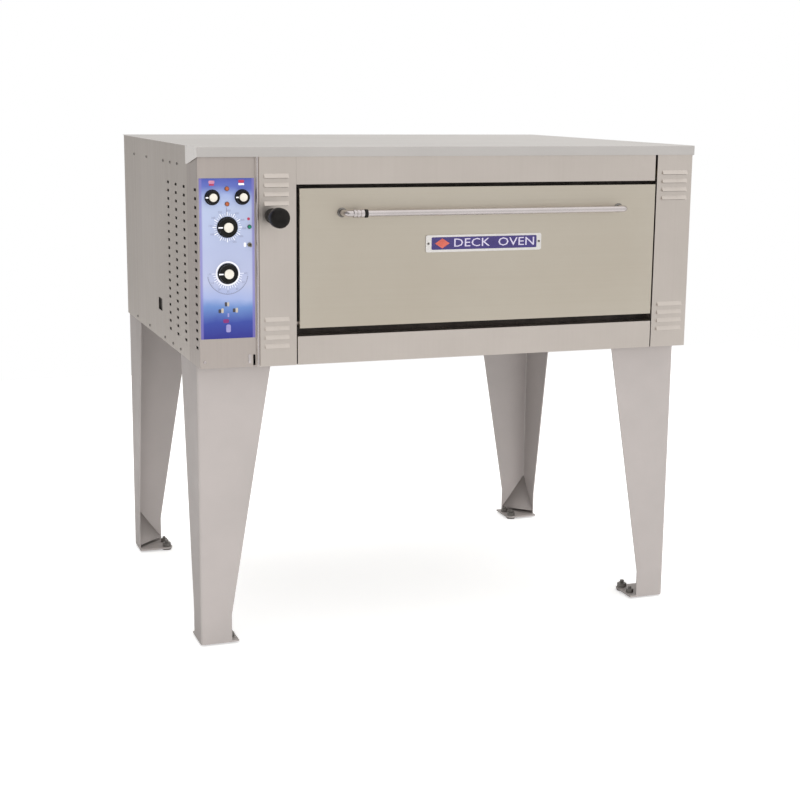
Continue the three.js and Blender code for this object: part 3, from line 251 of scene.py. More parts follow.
# %% Settled dust
dusty, given, result, place = value_group("settled_dust", [("Amount", 0.15)], ["Dust"])
facing = add_node(dusty, "ShaderNodeNewGeometry")
parts = add_node(dusty, "ShaderNodeSeparateXYZ", {0: facing.outputs["Normal"]})
lying = reckon(dusty, "MULTIPLY", span(dusty, parts.outputs["Z"], 0.35, 0.95), noise(dusty, place, 9.0, 5.0))
dusty.links.new(reckon(dusty, "MULTIPLY", lying, given["Amount"]), result["Dust"])
print("groups:", [group.name for group in bpy.data.node_groups])

# %% [markdown]
# ## Metal finishes
# One builder makes every steel: a base colour that drifts a few per cent between a light and a
# dark tone, streaks along the grain that change roughness and give a shallow bump, and a
# little dust.  Stretch squeezes the streaks, so the grain runs along its smallest number.

# %% Shared part of every finish
DUST_COLOUR = (0.60, 0.56, 0.50, 1)


def new_material(name):
    """A material with nodes, its tree and its Principled shader."""
    material = bpy.data.materials.new(name)
    material.use_nodes = True
    return material, material.node_tree, material.node_tree.nodes["Principled BSDF"]


def cover(tree, shader, share, light, dark, dust, roughness, height, bump, depth):
    """Links two tones under dust, a roughness and a bump to the shader, and returns the tones."""
    tones = mix_colours(tree, share, (*light, 1), (*dark, 1))
    dusted = mix_colours(tree, use_group(tree, dusty, {"Amount": dust})["Dust"], tones, DUST_COLOUR)
    raised = add_node(tree, "ShaderNodeBump", {"Height": height, "Strength": bump, "Distance": depth})
    for socket, value in (("Base Color", dusted), ("Roughness", roughness), ("Normal", raised.outputs[0])):
        tree.links.new(value, shader.inputs[socket])
    return tones


# %% Steel builder
GRIND_DEPTH = 0.4 * MM


def steel(name, light, dark, stretch, rough=(0.26, 0.42), metallic=1.0, bump=0.05, patch=3.0, dust=0.12,
          streak_tone=0.25):
    """A brushed or plain metal, light and dark in linear colour."""
    material, tree, shader = new_material(name)
    streaks = use_group(tree, brushed, {"Stretch": stretch})["Streaks"]
    drift = span(tree, use_group(tree, uneven, {"Patch": patch})["Tone"], 0.3, 0.7)
    share = mix_values(tree, streak_tone, drift, streaks)
    grind = span(tree, streaks, 0.35, 0.65, *rough)
    cover(tree, shader, share, light, dark, dust, grind, streaks, bump, GRIND_DEPTH)
    shader.inputs["Metallic"].default_value = metallic
    return material


# %% The steels
UPRIGHT_GRAIN, LEVEL_GRAIN = (520, 520, 5), (5, 520, 520)
casing_light, casing_dark = (0.685, 0.63, 0.588), (0.615, 0.565, 0.523)
front_steel = steel("casing_front_steel", casing_light, casing_dark, UPRIGHT_GRAIN, rough=(0.3, 0.44))
# Painted shade: the control panel is a darker copy of the casing steel, standing in for the shade of its recess.
recess_shaded_panel_steel = steel("control_panel_painted_shade_steel", (0.60, 0.54, 0.51), (0.53, 0.48, 0.45), UPRIGHT_GRAIN,
                    rough=(0.32, 0.46))
side_steel = steel("casing_side_steel", casing_light, casing_dark, UPRIGHT_GRAIN, rough=(0.32, 0.46))
lid_steel = steel("casing_lid_steel", (0.69, 0.665, 0.65), (0.62, 0.60, 0.585), LEVEL_GRAIN,
                  rough=(0.3, 0.44), dust=0.25)
door_steel = steel("door_straw_steel", (0.65, 0.605, 0.525), (0.59, 0.535, 0.45), LEVEL_GRAIN,
                   rough=(0.28, 0.42), patch=2.2, streak_tone=0.35)
plain_steel = steel("mill_finish_steel", (0.46, 0.455, 0.44), (0.34, 0.335, 0.325), (60, 60, 60),
                    rough=(0.38, 0.6), patch=12, streak_tone=0.5)
polished_steel = steel("polished_chrome", (0.70, 0.655, 0.655), (0.60, 0.56, 0.56), (30, 700, 700),
                       rough=(0.16, 0.28), bump=0.02, patch=8, dust=0.05)
bronze_steel = steel("bronzed_lever", (0.42, 0.38, 0.26), (0.3, 0.27, 0.18), (200, 200, 200),
                     rough=(0.3, 0.45), patch=60)
zinc_steel = steel("zinc_plated_steel", (0.30, 0.285, 0.27), (0.2, 0.19, 0.18), (200, 200, 200),
                   rough=(0.35, 0.55), patch=40)
# Painted shade: the chamber liner is near black so that the gaps round the door read as shadow.
gap_shade_liner_steel = steel("liner_painted_gap_shade", (0.085, 0.075, 0.07), (0.05, 0.045, 0.042), (90, 90, 90),
                    rough=(0.45, 0.62), patch=9, streak_tone=0.4)
# Painted shade: the vent baffle is dark so that the slots read as shadowed hollows.
vent_shade_baffle_steel = steel("vent_baffle_painted_shade", (0.16, 0.15, 0.14), (0.12, 0.11, 0.105), (90, 90, 90),
                     rough=(0.5, 0.65), patch=9)
spring_steel = steel("oiled_spring_wire", (0.16, 0.15, 0.14), (0.1, 0.095, 0.09), (300, 300, 300),
                     rough=(0.25, 0.4), patch=30)
sheath_steel = steel("oxidised_heater_sheath", (0.10, 0.075, 0.065), (0.045, 0.04, 0.04), (80, 80, 80),
                     rough=(0.5, 0.75), metallic=0.6, patch=18)
# Painted highlight: a paler, less metallic steel for the bright wedge at the lid's left end.
lid_tab_highlight_steel = steel("lid_tab_painted_highlight", (0.90, 0.87, 0.85), (0.82, 0.79, 0.77), UPRIGHT_GRAIN, metallic=0.25)
plate_metal = steel("nameplate_aluminium", (0.80, 0.785, 0.77), (0.72, 0.70, 0.69), (8, 900, 900),
                    rough=(0.3, 0.45), metallic=0.7)
print("steels made")

# %% [markdown]
# ## Paint, plastic, stone and wool
# These are dielectrics, so they share a second builder: two tones mixed by an uneven
# pattern, a fine bump, and a roughness range.  What changes from one to the next is the
# pattern's size and the height of the bump: enamel has a soft orange peel, the hearth has
# coarse speckles, wool is all fibre.

# %% Dull builder
GRIT_DEPTH = 0.6 * MM
COAT_ROUGHNESS = 0.12


def coating(name, light, dark, rough=(0.4, 0.55), patch=6.0, speck_bump=0.05, dust=0.08, metallic=0.0,
            gloss=0.0, speck_tone=0.0, glow=0.0, shine=0.5):
    """A painted, moulded or mineral surface, light and dark in linear colour."""
    material, tree, shader = new_material(name)
    tone, specks = use_group(tree, uneven, {"Patch": patch})
    drift, grit = span(tree, tone, 0.32, 0.68), span(tree, specks, 0.45, 0.6)
    share = mix_values(tree, speck_tone, drift, grit)
    worn = span(tree, tone, 0.3, 0.7, *rough)
    tones = cover(tree, shader, share, light, dark, dust, worn, specks, speck_bump, GRIT_DEPTH)
    shader.inputs["Metallic"].default_value = metallic
    shader.inputs["Coat Weight"].default_value = gloss
    shader.inputs["Coat Roughness"].default_value = COAT_ROUGHNESS
    shader.inputs["Specular IOR Level"].default_value = shine
    if glow:
        tree.links.new(tones, shader.inputs["Emission Color"])
        shader.inputs["Emission Strength"].default_value = glow
    return material


def ink(name, light, dark, **settings):
    """A printed colour: fine patches and hardly any dust."""
    return coating(name, light, dark, **{"patch": 80, "dust": 0.02, **settings})


# %% The coatings
leg_enamel = coating("leg_enamel", (0.47, 0.432, 0.42), (0.43, 0.398, 0.386), rough=(0.42, 0.56), patch=4,
                     speck_bump=0.06, metallic=0.15, shine=0.3)
black_knob = coating("black_phenolic", (0.006, 0.0055, 0.005), (0.012, 0.011, 0.010), rough=(0.3, 0.45),
                     patch=60, speck_bump=0.04, dust=0.0, shine=0.16)
collar_paint = coating("collar_paint", (0.026, 0.023, 0.020), (0.042, 0.037, 0.033), rough=(0.35, 0.5),
                       patch=40, dust=0.02, shine=0.3)
cream_cap = coating("cream_cap", (0.80, 0.765, 0.69), (0.72, 0.68, 0.6), rough=(0.3, 0.45), patch=90,
                    speck_bump=0.03, dust=0.02)
black_moulding = coating("black_moulding", (0.045, 0.042, 0.038), (0.025, 0.023, 0.02), rough=(0.5, 0.65),
                         patch=30)
hearth_stone = coating("hearth_stone", (0.60, 0.53, 0.41), (0.40, 0.33, 0.24), rough=(0.85, 0.97), patch=7,
                       speck_bump=0.6, speck_tone=0.45)
mineral_wool = coating("mineral_wool", (0.62, 0.52, 0.28), (0.42, 0.34, 0.16), rough=(0.9, 1.0), patch=40,
                       speck_bump=0.9, speck_tone=0.5)
amber_lens = coating("amber_lens", (0.50, 0.115, 0.03), (0.34, 0.07, 0.02), rough=(0.12, 0.22), patch=200,
                     gloss=0.6, dust=0.0, glow=0.08)
green_lens = coating("green_lens", (0.004, 0.24, 0.13), (0.002, 0.17, 0.09), rough=(0.12, 0.22), patch=200,
                     gloss=0.6, dust=0.0, glow=0.08)
brown_ring = coating("lamp_bezel_brown", (0.20, 0.13, 0.09), (0.14, 0.09, 0.06), rough=(0.3, 0.45), patch=120)
navy_enamel = coating("navy_enamel", (0.040, 0.026, 0.17), (0.03, 0.018, 0.13), rough=(0.2, 0.32), patch=30,
                      gloss=0.4, dust=0.02)
coral_enamel = coating("coral_enamel", (0.62, 0.13, 0.09), (0.5, 0.09, 0.06), rough=(0.2, 0.32), patch=60,
                       gloss=0.4)
plate_white = coating("plate_letters", (0.64, 0.60, 0.74), (0.56, 0.52, 0.68), rough=(0.3, 0.45), patch=60)
# Painted light: the white ink has a faint emission, a painted glow on all white print.
white_ink_painted_glow = ink("white_ink_painted_glow", (0.90, 0.90, 0.95), (0.84, 0.85, 0.92), patch=60, dust=0.0, glow=0.12)
grey_ink = ink("grey_blue_ink", (0.27, 0.29, 0.43), (0.22, 0.24, 0.37), patch=60)
rose_ink = ink("rose_ink", (0.66, 0.30, 0.42), (0.55, 0.2, 0.32))
red_ink = ink("red_ink", (0.55, 0.035, 0.09), (0.42, 0.03, 0.08))
plum_ink = ink("plum_ink", (0.22, 0.02, 0.17), (0.17, 0.02, 0.14))
lilac_ink = ink("lilac_ink", (0.33, 0.30, 0.60), (0.26, 0.25, 0.52))
buff_ink = ink("buff_ink", (0.55, 0.49, 0.40), (0.47, 0.42, 0.34))
dark_ink = ink("dark_ink", (0.055, 0.05, 0.055), (0.04, 0.035, 0.04))
print("coatings made")

# %% [markdown]
# ## The printed control film
# The film fades from deep blue at the top to pale blue round the dials and back to violet
# blue at the foot, inside a violet border.  A ColorRamp on height does the fade.  Object
# coordinates are in metres, so a Map Range turns height into 0 to 1 over the plate.

# %% Control film
film_low, film_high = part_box("graphic_plate")
BORDER_COLOUR, BORDER_SHARE = (0.20, 0.17, 0.47, 1), 0.7
BORDER_FADE, BORDER_FULL = 8 * MM, 5 * MM
FADE_STOPS = [(0.0, (0.018, 0.022, 0.23)), (0.09, (0.03, 0.055, 0.31)), (0.19, (0.13, 0.235, 0.52)),
              (0.24, (0.33, 0.40, 0.66)), (0.34, (0.44, 0.48, 0.67)), (0.55, (0.41, 0.46, 0.66)),
              (0.80, (0.44, 0.51, 0.71)), (0.88, (0.33, 0.41, 0.69)), (0.94, (0.10, 0.14, 0.46)),
              (1.0, (0.055, 0.075, 0.36))]
film, tree, shader = new_material("control_film")
place = add_node(tree, "ShaderNodeTexCoord").outputs["Object"]
film_x, _, film_z = add_node(tree, "ShaderNodeSeparateXYZ", {0: place}).outputs
height = span(tree, film_z, film_low.z, film_high.z)
sway = span(tree, noise(tree, place, 9.0, 3.0), 0.0, 1.0, -0.05, 0.05)
fade = add_node(tree, "ShaderNodeValToRGB", {"Fac": reckon(tree, "ADD", height, sway)})
ramp = fade.color_ramp
while len(ramp.elements) < len(FADE_STOPS):
    ramp.elements.new(0.5)
for element, (stop, colour) in zip(ramp.elements, FADE_STOPS):
    element.position, element.color = stop, (*colour, 1)
middle_x, half_width = (film_low.x + film_high.x) / 2, (film_high.x - film_low.x) / 2
aside = reckon(tree, "ABSOLUTE", reckon(tree, "SUBTRACT", film_x, middle_x))
border = span(tree, aside, half_width - BORDER_FADE, half_width - BORDER_FULL)
edge_share = reckon(tree, "MULTIPLY", border, BORDER_SHARE)
bordered = mix_colours(tree, edge_share, fade.outputs[0], BORDER_COLOUR)
smudge, specks = use_group(tree, uneven, {"Patch": 25.0})
satin = span(tree, smudge, 0.0, 1.0, 0.25, 0.45)
peel = add_node(tree, "ShaderNodeBump", {"Height": specks, "Strength": 0.04, "Distance": GRIND_DEPTH})
for socket, value in (("Base Color", bordered), ("Roughness", satin), ("Normal", peel.outputs[0])):
    tree.links.new(value, shader.inputs[socket])
print("film from", round(film_low.z, 3), "to", round(film_high.z, 3))

# %% [markdown]
# ## Finishes on the parts that keep their own shape
# A flat panel with its holes is already right, so it only needs its finish.  Assigning a
# material to the object's first slot is enough.

# %% Dress the plain parts
LEGS = ["leg_front_left", "leg_front_right", "leg_rear_left", "leg_rear_right"]
FINISHES = {
    side_steel: ["left_side_panel", "right_side_panel", "rear_panel"],
    recess_shaded_panel_steel: ["control_panel"],
    front_steel: ["left_post", "right_post", "header_panel", "sill_panel"],
    lid_steel: ["top_cover"],
    door_steel: ["door_skin"],
    plain_steel: ["base_pan", "base_rail_left", "base_rail_right", "stone_tray", "door_liner",
                  "hinge_arm_left", "hinge_arm_right", "hinge_bracket_left", "hinge_bracket_right",
                  "conduit_gland", "damper_bush"],
    film: ["graphic_plate"],
    leg_enamel: LEGS,
    zinc_steel: [leg.replace("leg", "leveller") for leg in LEGS],
    polished_steel: ["hinge_pin_left", "hinge_pin_right", "handle_bar", "handle_sleeve", "damper_rod"],
    bronze_steel: ["power_toggle", "power_switch"],
    gap_shade_liner_steel: ["chamber_liner"],
    mineral_wool: ["insulation_jacket", "door_wool"],
    hearth_stone: ["baking_stone_left", "baking_stone_right"],
    sheath_steel: ["upper_element", "lower_element"],
    spring_steel: ["door_spring_left", "door_spring_right"],
    plate_metal: ["nameplate"],
    black_knob: ["top_heat_knob", "bottom_heat_knob", "thermostat_knob", "timer_knob", "damper_knob"],
    black_moulding: ["top_heat_switch", "bottom_heat_switch", "thermostat", "timer", "contactor"],
    amber_lens: ["upper_pilot_lamp", "lower_pilot_lamp"],
    green_lens: ["power_lamp"],
}
for material, names in FINISHES.items():
    for name in names:
        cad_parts[name].data.materials.clear()
        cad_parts[name].data.materials.append(material)
print("dressed", sum(len(names) for names in FINISHES.values()), "parts")

# %% [markdown]
# ## Tools for new pieces
# A piece starts as a bmesh.  `publish` turns it into an object, gives it its finishes, smooths
# its curved faces, and hangs it on the body it rides on.

# %% Publish a piece
SMOOTH_LIMIT = math.radians(40)
WELD = 1e-6


def publish(name, shape, body, materials, replaces=(), flat_sheet=False):
    """A finished bmesh becomes an object that rides on a body; flat_sheet keeps level faces flat-shaded."""
    mesh = bpy.data.meshes.new(name)
    shape.to_mesh(mesh)
    shape.free()
    for material in materials if isinstance(materials, list) else [materials]:
        mesh.materials.append(material)
    mesh.set_sharp_from_angle(angle=SMOOTH_LIMIT)
    curved = [not (flat_sheet and max(abs(value) for value in face.normal) > 0.9999) for face in mesh.polygons]
    mesh.polygons.foreach_set("use_smooth", curved)
    piece = bpy.data.objects.new(name, mesh)
    scene.collection.objects.link(piece)
    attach(piece, body)
    if replaces:
        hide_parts(*replaces)


# %% Turned and block shapes
AIMS = {"up": ("X", 0), "front": ("X", 90), "back": ("X", -90), "left": ("Y", -90), "right": ("Y", 90)}
CENTRE = (0, 0, 0)


def millimetres(*pairs):
    """A profile given in millimetres."""
    return [(radius * MM, along * MM) for radius, along in pairs]


def quarter_turn(degrees, axis):
    """A turn of some degrees about an axis."""
    return Matrix.Rotation(math.radians(degrees), 3, axis)


def turned(shape, profile, place, steps=40, toward="front"):
    """Spins a profile of (radius, distance along the axis), stands it at a place and returns it."""
    older = set(shape.verts)
    chain = [shape.verts.new((radius, 0, along)) for radius, along in profile]
    edges = [shape.edges.new(pair) for pair in zip(chain, chain[1:])]
    bmesh.ops.spin(shape, geom=chain + edges, cent=CENTRE, axis=(0, 0, 1), angle=2 * math.pi, steps=steps,
                   use_merge=True)
    bmesh.ops.remove_doubles(shape, verts=[vert for vert in shape.verts if vert not in older], dist=WELD)
    made = [vert for vert in shape.verts if vert not in older]
    bmesh.ops.recalc_face_normals(shape, faces=list({face for vert in made for face in vert.link_faces}))
    axis, degrees = AIMS[toward]
    bmesh.ops.rotate(shape, verts=made, cent=CENTRE, matrix=quarter_turn(degrees, axis))
    bmesh.ops.translate(shape, verts=made, vec=place)
    return made


def raise_faces(shape, faces, vec):
    """Extrudes faces and moves their new copy, which gives them thickness."""
    grown = bmesh.ops.extrude_face_region(shape, geom=faces)["geom"]
    top = [item for item in grown if isinstance(item, bmesh.types.BMVert)]
    bmesh.ops.translate(shape, verts=top, vec=vec)
    return top


def bevelled(shape, edges, offset, segments):
    """Rounds edges over an offset."""
    return bmesh.ops.bevel(shape, geom=edges, offset=offset, segments=segments, profile=0.5, affect="EDGES",
                           material=-1, clamp_overlap=True)["faces"]


def block(shape, low, high, corner=0.0, rim=0.0, axis=1, segments=4):
    """A block between two corners, with the edges along one axis rounded and a fine rim."""
    made = bmesh.ops.create_cube(shape, size=1)["verts"]
    low, high = Vector(low), Vector(high)
    bmesh.ops.scale(shape, vec=high - low, verts=made)
    bmesh.ops.translate(shape, vec=(low + high) / 2, verts=made)
    if corner:
        edges = list({edge for vert in made for edge in vert.link_edges})
        along = [edge for edge in edges
                 if abs((edge.verts[0].co - edge.verts[1].co).normalized()[axis]) > 0.99]
        made = list({vert for face in bevelled(shape, along, corner, segments) for vert in face.verts})
    if rim:
        faces = {face for vert in made for face in vert.link_faces if abs(face.normal[axis]) > 0.99}
        bevelled(shape, list({edge for face in faces for edge in face.edges}), rim, 2)


print("shape tools ready")

# %% [markdown]
# ## Rounded folds
# Bent sheet is never sharp.  The lid, the door and the legs are copied from the frame, their
# loose triangles are merged into whole faces, and only the long folds are bevelled: a
# 7 mm radius on the legs, whose plate is thick, and less on the thin door and lid.

# %% Fold helpers
MERGE_DISTANCE = 0.02 * MM
FOLD_TOLERANCE = 0.05 * MM


def merged_copy(node):
    """The CAD node's mesh with doubles merged and flat triangles joined into faces."""
    shape = bmesh.new()
    shape.from_mesh(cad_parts[node].data)
    bmesh.ops.remove_doubles(shape, verts=shape.verts, dist=MERGE_DISTANCE)
    bmesh.ops.dissolve_limit(shape, angle_limit=math.radians(0.5), verts=shape.verts, edges=shape.edges)
    return shape


def round_fold(shape, radius, segments, **planes):
    """Bevels the edges whose ends both lie on two given planes, such as x=..., z=...."""
    picked = [edge for edge in shape.edges
              if all(abs(vert.co["xyz".index(key)] - value) < FOLD_TOLERANCE
                     for vert in edge.verts for key, value in planes.items())]
    bevelled(shape, picked, radius, segments)
    return len(picked)


def outer_corner(leg):
    """The low corner of a leg on the outside of the oven, and the signs that lead inwards."""
    low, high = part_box(leg)
    inward_x, inward_y = 1 if "left" in leg else -1, 1 if "front" in leg else -1
    corner = Vector((low.x if inward_x > 0 else high.x, low.y if inward_y > 0 else high.y, low.z))
    return corner, inward_x, inward_y


# %% Legs
LEG_SHEET = 3 * MM
LEG_FOLD = 7 * MM
for leg in LEGS:
    corner, inward_x, inward_y = outer_corner(leg)
    shape = merged_copy(leg)
    outer = round_fold(shape, LEG_FOLD, 5, x=corner.x, y=corner.y)
    inner = round_fold(shape, LEG_FOLD - LEG_SHEET, 4, x=corner.x + inward_x * LEG_SHEET,
                       y=corner.y + inward_y * LEG_SHEET)
    publish(leg + "_folded", shape, "casing", leg_enamel, [leg], flat_sheet=True)
    print(leg, "folds", outer, inner)

# %% Lid and door skin
LID_FOLD, DOOR_FOLD = 1.3 * MM, 2.2 * MM
low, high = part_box("top_cover")
shape = merged_copy("top_cover")
lid_folds = round_fold(shape, LID_FOLD, 3, y=low.y, z=high.z)
# The lid's left end faces take the second finish, a painted highlight for the bright wedge.
for face in shape.faces:
    if face.normal.x < -0.9 and face.calc_center_median().x < low.x + 1 * MM:
        face.material_index = 1
publish("lid_folded", shape, "casing", [lid_steel, lid_tab_highlight_steel], ["top_cover"], flat_sheet=True)
low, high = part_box("door_skin")
shape = merged_copy("door_skin")
door_folds = sum(round_fold(shape, DOOR_FOLD, 3, y=low.y, **side)
                 for side in ({"x": low.x}, {"x": high.x}, {"z": low.z}, {"z": high.z}))
publish("door_skin_folded", shape, "door", door_steel, ["door_skin"], flat_sheet=True)
print("lid folds", lid_folds, "door folds", door_folds)

# %% [markdown]
# ## The post's bright fold and the panel latch
# Where the left post meets the control panel its edge is folded over into a rounded bead that
# catches the light.  The control panel is held at the foot by a quarter-turn latch, whose pale
# tongue shows beside its slot.  Both are rounded bars: a block with its long edges bevelled.

# %% Post bead and latch tongue
post_low, post_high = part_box("left_post")
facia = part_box("header_panel")[0].y
panel_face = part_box("control_panel")[0].y
BEAD_WIDTH, BEAD_PROUD, BEAD_DEPTH, BEAD_ROUND = 4.5 * MM, 0.8 * MM, 4 * MM, 2 * MM
BEAD_INSET, BEAD_SHORT = 0.6 * MM, 2 * MM
shape = bmesh.new()
bead_x = post_low.x + BEAD_INSET
block(shape, (bead_x, facia - BEAD_PROUD, post_low.z + BEAD_SHORT),
      (bead_x + BEAD_WIDTH, facia + BEAD_DEPTH, post_high.z - BEAD_SHORT), corner=BEAD_ROUND, axis=2, segments=6)
publish("post_edge_bead", shape, "casing", polished_steel)
shape = bmesh.new()
block(shape, (post_low.x - 23 * MM, panel_face - 1.6 * MM, post_low.z + 9 * MM),
      (post_low.x - 15 * MM, panel_face - 0.1 * MM, post_low.z + 33 * MM), corner=2.5 * MM, rim=0.4 * MM)
publish("latch_tongue", shape, "casing", polished_steel)
print("post bead and latch tongue made")

# %% [markdown]
# ## Control knobs
# Each knob on the real panel is a black moulded grip with shallow flutes, a white notch that
# points at the scale, and a pressed-in cream cap.  A spun profile gives the grip; two of
# every four columns of its side are drawn in to make the flutes.

# %% Knob maker
FLUTE_DEPTH = 0.035
KNOB_STEPS = 72
SHAFT = 3 * MM
FILM_GAP = 0.3 * MM
skirt_y = film_low.y - FILM_GAP


def dial_knob(stem, body):
    """Grip, cap and pointer in place of one CAD knob."""
    low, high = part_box(stem + "_knob")
    x, z = (low.x + high.x) / 2, (low.z + high.z) / 2
    radius = (high.z - low.z) / 2
    front = skirt_y - low.y
    cap = radius * 0.28 + 4.8 * MM
    top = front - 3 * MM
    profile = [(0, skirt_y - high.y), (SHAFT, skirt_y - high.y), (SHAFT, 0), (radius - 0.6 * MM, 0),
               (radius, 0.6 * MM), (radius, 2.4 * MM), (radius - 0.7 * MM, 3.2 * MM),
               (radius - 1.8 * MM, 3.6 * MM), (radius - 2.6 * MM, top - 1.6 * MM),
               (radius - 3.4 * MM, top - 0.4 * MM), (radius - 4.4 * MM, top), (cap + 1.2 * MM, top),
               (cap + 0.4 * MM, top - 0.9 * MM), (0, top - 0.9 * MM)]
    shape = bmesh.new()
    verts = turned(shape, profile, CENTRE, steps=KNOB_STEPS, toward="up")
    fluted = [vert for vert in verts if 3.4 * MM < vert.co.z < top - 0.9 * MM
              and math.hypot(vert.co.x, vert.co.y) > cap + 3 * MM
              and round(math.atan2(vert.co.y, vert.co.x) / (2 * math.pi / KNOB_STEPS)) % 4 in (0, 1)]
    bmesh.ops.scale(shape, vec=(1 - FLUTE_DEPTH, 1 - FLUTE_DEPTH, 1), verts=fluted)
    bmesh.ops.rotate(shape, verts=shape.verts, cent=CENTRE, matrix=quarter_turn(90, "X"))
    bmesh.ops.translate(shape, verts=shape.verts, vec=(x, skirt_y, z))
    publish(stem + "_grip", shape, body, black_knob, [stem + "_knob"])
    shape = bmesh.new()
    turned(shape, [(0, top - 0.8 * MM), (cap, top - 0.8 * MM), (cap, front - 1.2 * MM),
                   (cap - 0.5 * MM, front - 0.4 * MM), (cap - 1.4 * MM, front), (0, front)], (x, skirt_y, z))
    publish(stem + "_cap", shape, body, cream_cap)
    shape = bmesh.new()
    block(shape, (x - radius + 0.4 * MM, skirt_y - top - 0.35 * MM, z - 1.7 * MM),
          (x - cap - 2.2 * MM, skirt_y - top + 1.0 * MM, z + 1.7 * MM), corner=0.6 * MM, rim=0.2 * MM)
    publish(stem + "_pointer", shape, body, white_ink_painted_glow)
    return Vector((x, skirt_y, z)), radius


knobs = {stem: dial_knob(stem, stem + "_dial") for stem in ("top_heat", "bottom_heat", "thermostat", "timer")}
print("knobs", {stem: round(radius * 1000, 1) for stem, (_, radius) in knobs.items()})

# %% [markdown]
# ## Pilot lamps
# A lamp is a coloured lens with a domed face in a thin bezel.  Both are turned.

# %% Lamp maker
LAMP_STEPS = 32


def pilot(node, lens_material, bezel_material):
    """Lens and bezel in place of one CAD lamp."""
    low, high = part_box(node)
    place = ((low.x + high.x) / 2, skirt_y, (low.z + high.z) / 2)
    radius, depth, reach = (high.z - low.z) / 2, skirt_y - low.y, skirt_y - high.y
    rim = radius * 0.8
    dome = [(rim * math.cos(step * math.pi / 12), depth * (0.5 + 0.5 * math.sin(step * math.pi / 12)))
            for step in range(6)]
    shape = bmesh.new()
    turned(shape, [(0, reach), (radius * 0.6, reach), (radius * 0.6, 0.2 * MM), (rim, 0.2 * MM), *dome,
                   (0, depth)], place, steps=LAMP_STEPS)
    publish(node + "_lens", shape, "casing", lens_material, [node])
    shape = bmesh.new()
    turned(shape, [(radius * 0.82, 0), (radius, 0), (radius, depth * 0.3), (radius * 0.95, depth * 0.42),
                   (radius * 0.86, depth * 0.42), (radius * 0.82, depth * 0.3), (radius * 0.82, 0)], place,
           steps=LAMP_STEPS)
    publish(node + "_bezel", shape, "casing", bezel_material)


pilot("upper_pilot_lamp", amber_lens, brown_ring)
pilot("lower_pilot_lamp", amber_lens, brown_ring)
pilot("power_lamp", green_lens, black_moulding)
print("three lamps made")

# %% [markdown]
# ## Printing on the film
# The scales are ink, so they are very thin solids laid on the film: bars for the ticks, an
# arc for the timer, text turned to mesh for the numbers.  Thin solids keep the edges of the
# print crisp at any distance, which a procedural ring of numbers could not do.

# %% Ink helpers
INK = 0.2 * MM
ink_back = film_low.y - 0.02 * MM
CASING_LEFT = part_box("left_side_panel")[0].x


def ink_tick(shape, centre, inner, outer, width, angle):
    """A thin printed bar between two radii of a dial."""
    made = bmesh.ops.create_cube(shape, size=1)["verts"]
    middle = (inner + outer) / 2
    bmesh.ops.scale(shape, vec=(outer - inner, INK, width), verts=made)
    bmesh.ops.rotate(shape, verts=made, cent=CENTRE, matrix=Matrix.Rotation(-angle, 3, "Y"))
    bmesh.ops.translate(shape, verts=made, vec=(centre.x + middle * math.cos(angle), ink_back - INK / 2,
                                                centre.z + middle * math.sin(angle)))


def ink_ring(shape, centre, inner, outer, start, sweep, steps):
    """A thin printed ring or arc, as a flat strip spun round and then thickened."""
    pair = [shape.verts.new((inner, 0, 0)), shape.verts.new((outer, 0, 0))]
    bmesh.ops.rotate(shape, verts=pair, cent=CENTRE, matrix=quarter_turn(start, "Z"))
    edge = shape.edges.new(pair)
    bmesh.ops.spin(shape, geom=pair + [edge], cent=CENTRE, axis=(0, 0, 1), angle=math.radians(sweep),
                   steps=steps, use_merge=sweep == 360)
    strip = shape.faces[:]
    bmesh.ops.recalc_face_normals(shape, faces=strip)
    raise_faces(shape, strip, (0, 0, INK))
    bmesh.ops.rotate(shape, verts=shape.verts, cent=CENTRE, matrix=quarter_turn(90, "X"))
    bmesh.ops.translate(shape, verts=shape.verts, vec=(centre.x, ink_back, centre.z))
    bmesh.ops.recalc_face_normals(shape, faces=shape.faces)


def mesh_of(curve):
    """A text or a curve turned into a mesh; its carrier and the curve are dropped."""
    carrier = bpy.data.objects.new("carrier", curve)
    scene.collection.objects.link(carrier)
    bpy.context.view_layer.update()
    mesh = bpy.data.meshes.new_from_object(carrier.evaluated_get(bpy.context.evaluated_depsgraph_get()))
    bpy.data.objects.remove(carrier)
    bpy.data.curves.remove(curve)
    return mesh


def ink_text(shape, words, x, z, size, depth=INK, back=ink_back):
    """Words in the built-in font, made a mesh and laid on a face."""
    font = bpy.data.curves.new("words", "FONT")
    font.body, font.size, font.extrude = words, size, depth / 2
    font.align_x, font.align_y, font.resolution_u = "CENTER", "CENTER", 2
    mesh = mesh_of(font)
    mesh.transform(Matrix.Translation((x, back - depth / 2, z)) @ quarter_turn(90, "X").to_4x4())
    shape.from_mesh(mesh)
    bpy.data.meshes.remove(mesh)
    bmesh.ops.remove_doubles(shape, verts=shape.verts, dist=WELD)


print("ink tools ready")

# %% Thermostat scale
centre, radius = knobs["thermostat"]
shape = bmesh.new()
for step in range(36):
    reach, width = (35 * MM, 1.0 * MM) if step % 3 else (38 * MM, 2.0 * MM)
    ink_tick(shape, centre, radius + 1.5 * MM, reach, width, math.radians(step * 10))
publish("thermostat_ticks", shape, "casing", white_ink_painted_glow)
shape = bmesh.new()
for index, number in enumerate(range(100, 600, 50)):
    angle = math.radians(205 - index * 30)
    ink_text(shape, str(number), centre.x + 43.5 * MM * math.cos(angle), centre.z + 41.5 * MM * math.sin(angle),
             7.0 * MM)
publish("thermostat_numbers", shape, "casing", grey_ink)
print("thermostat scale round", [round(v, 3) for v in centre])

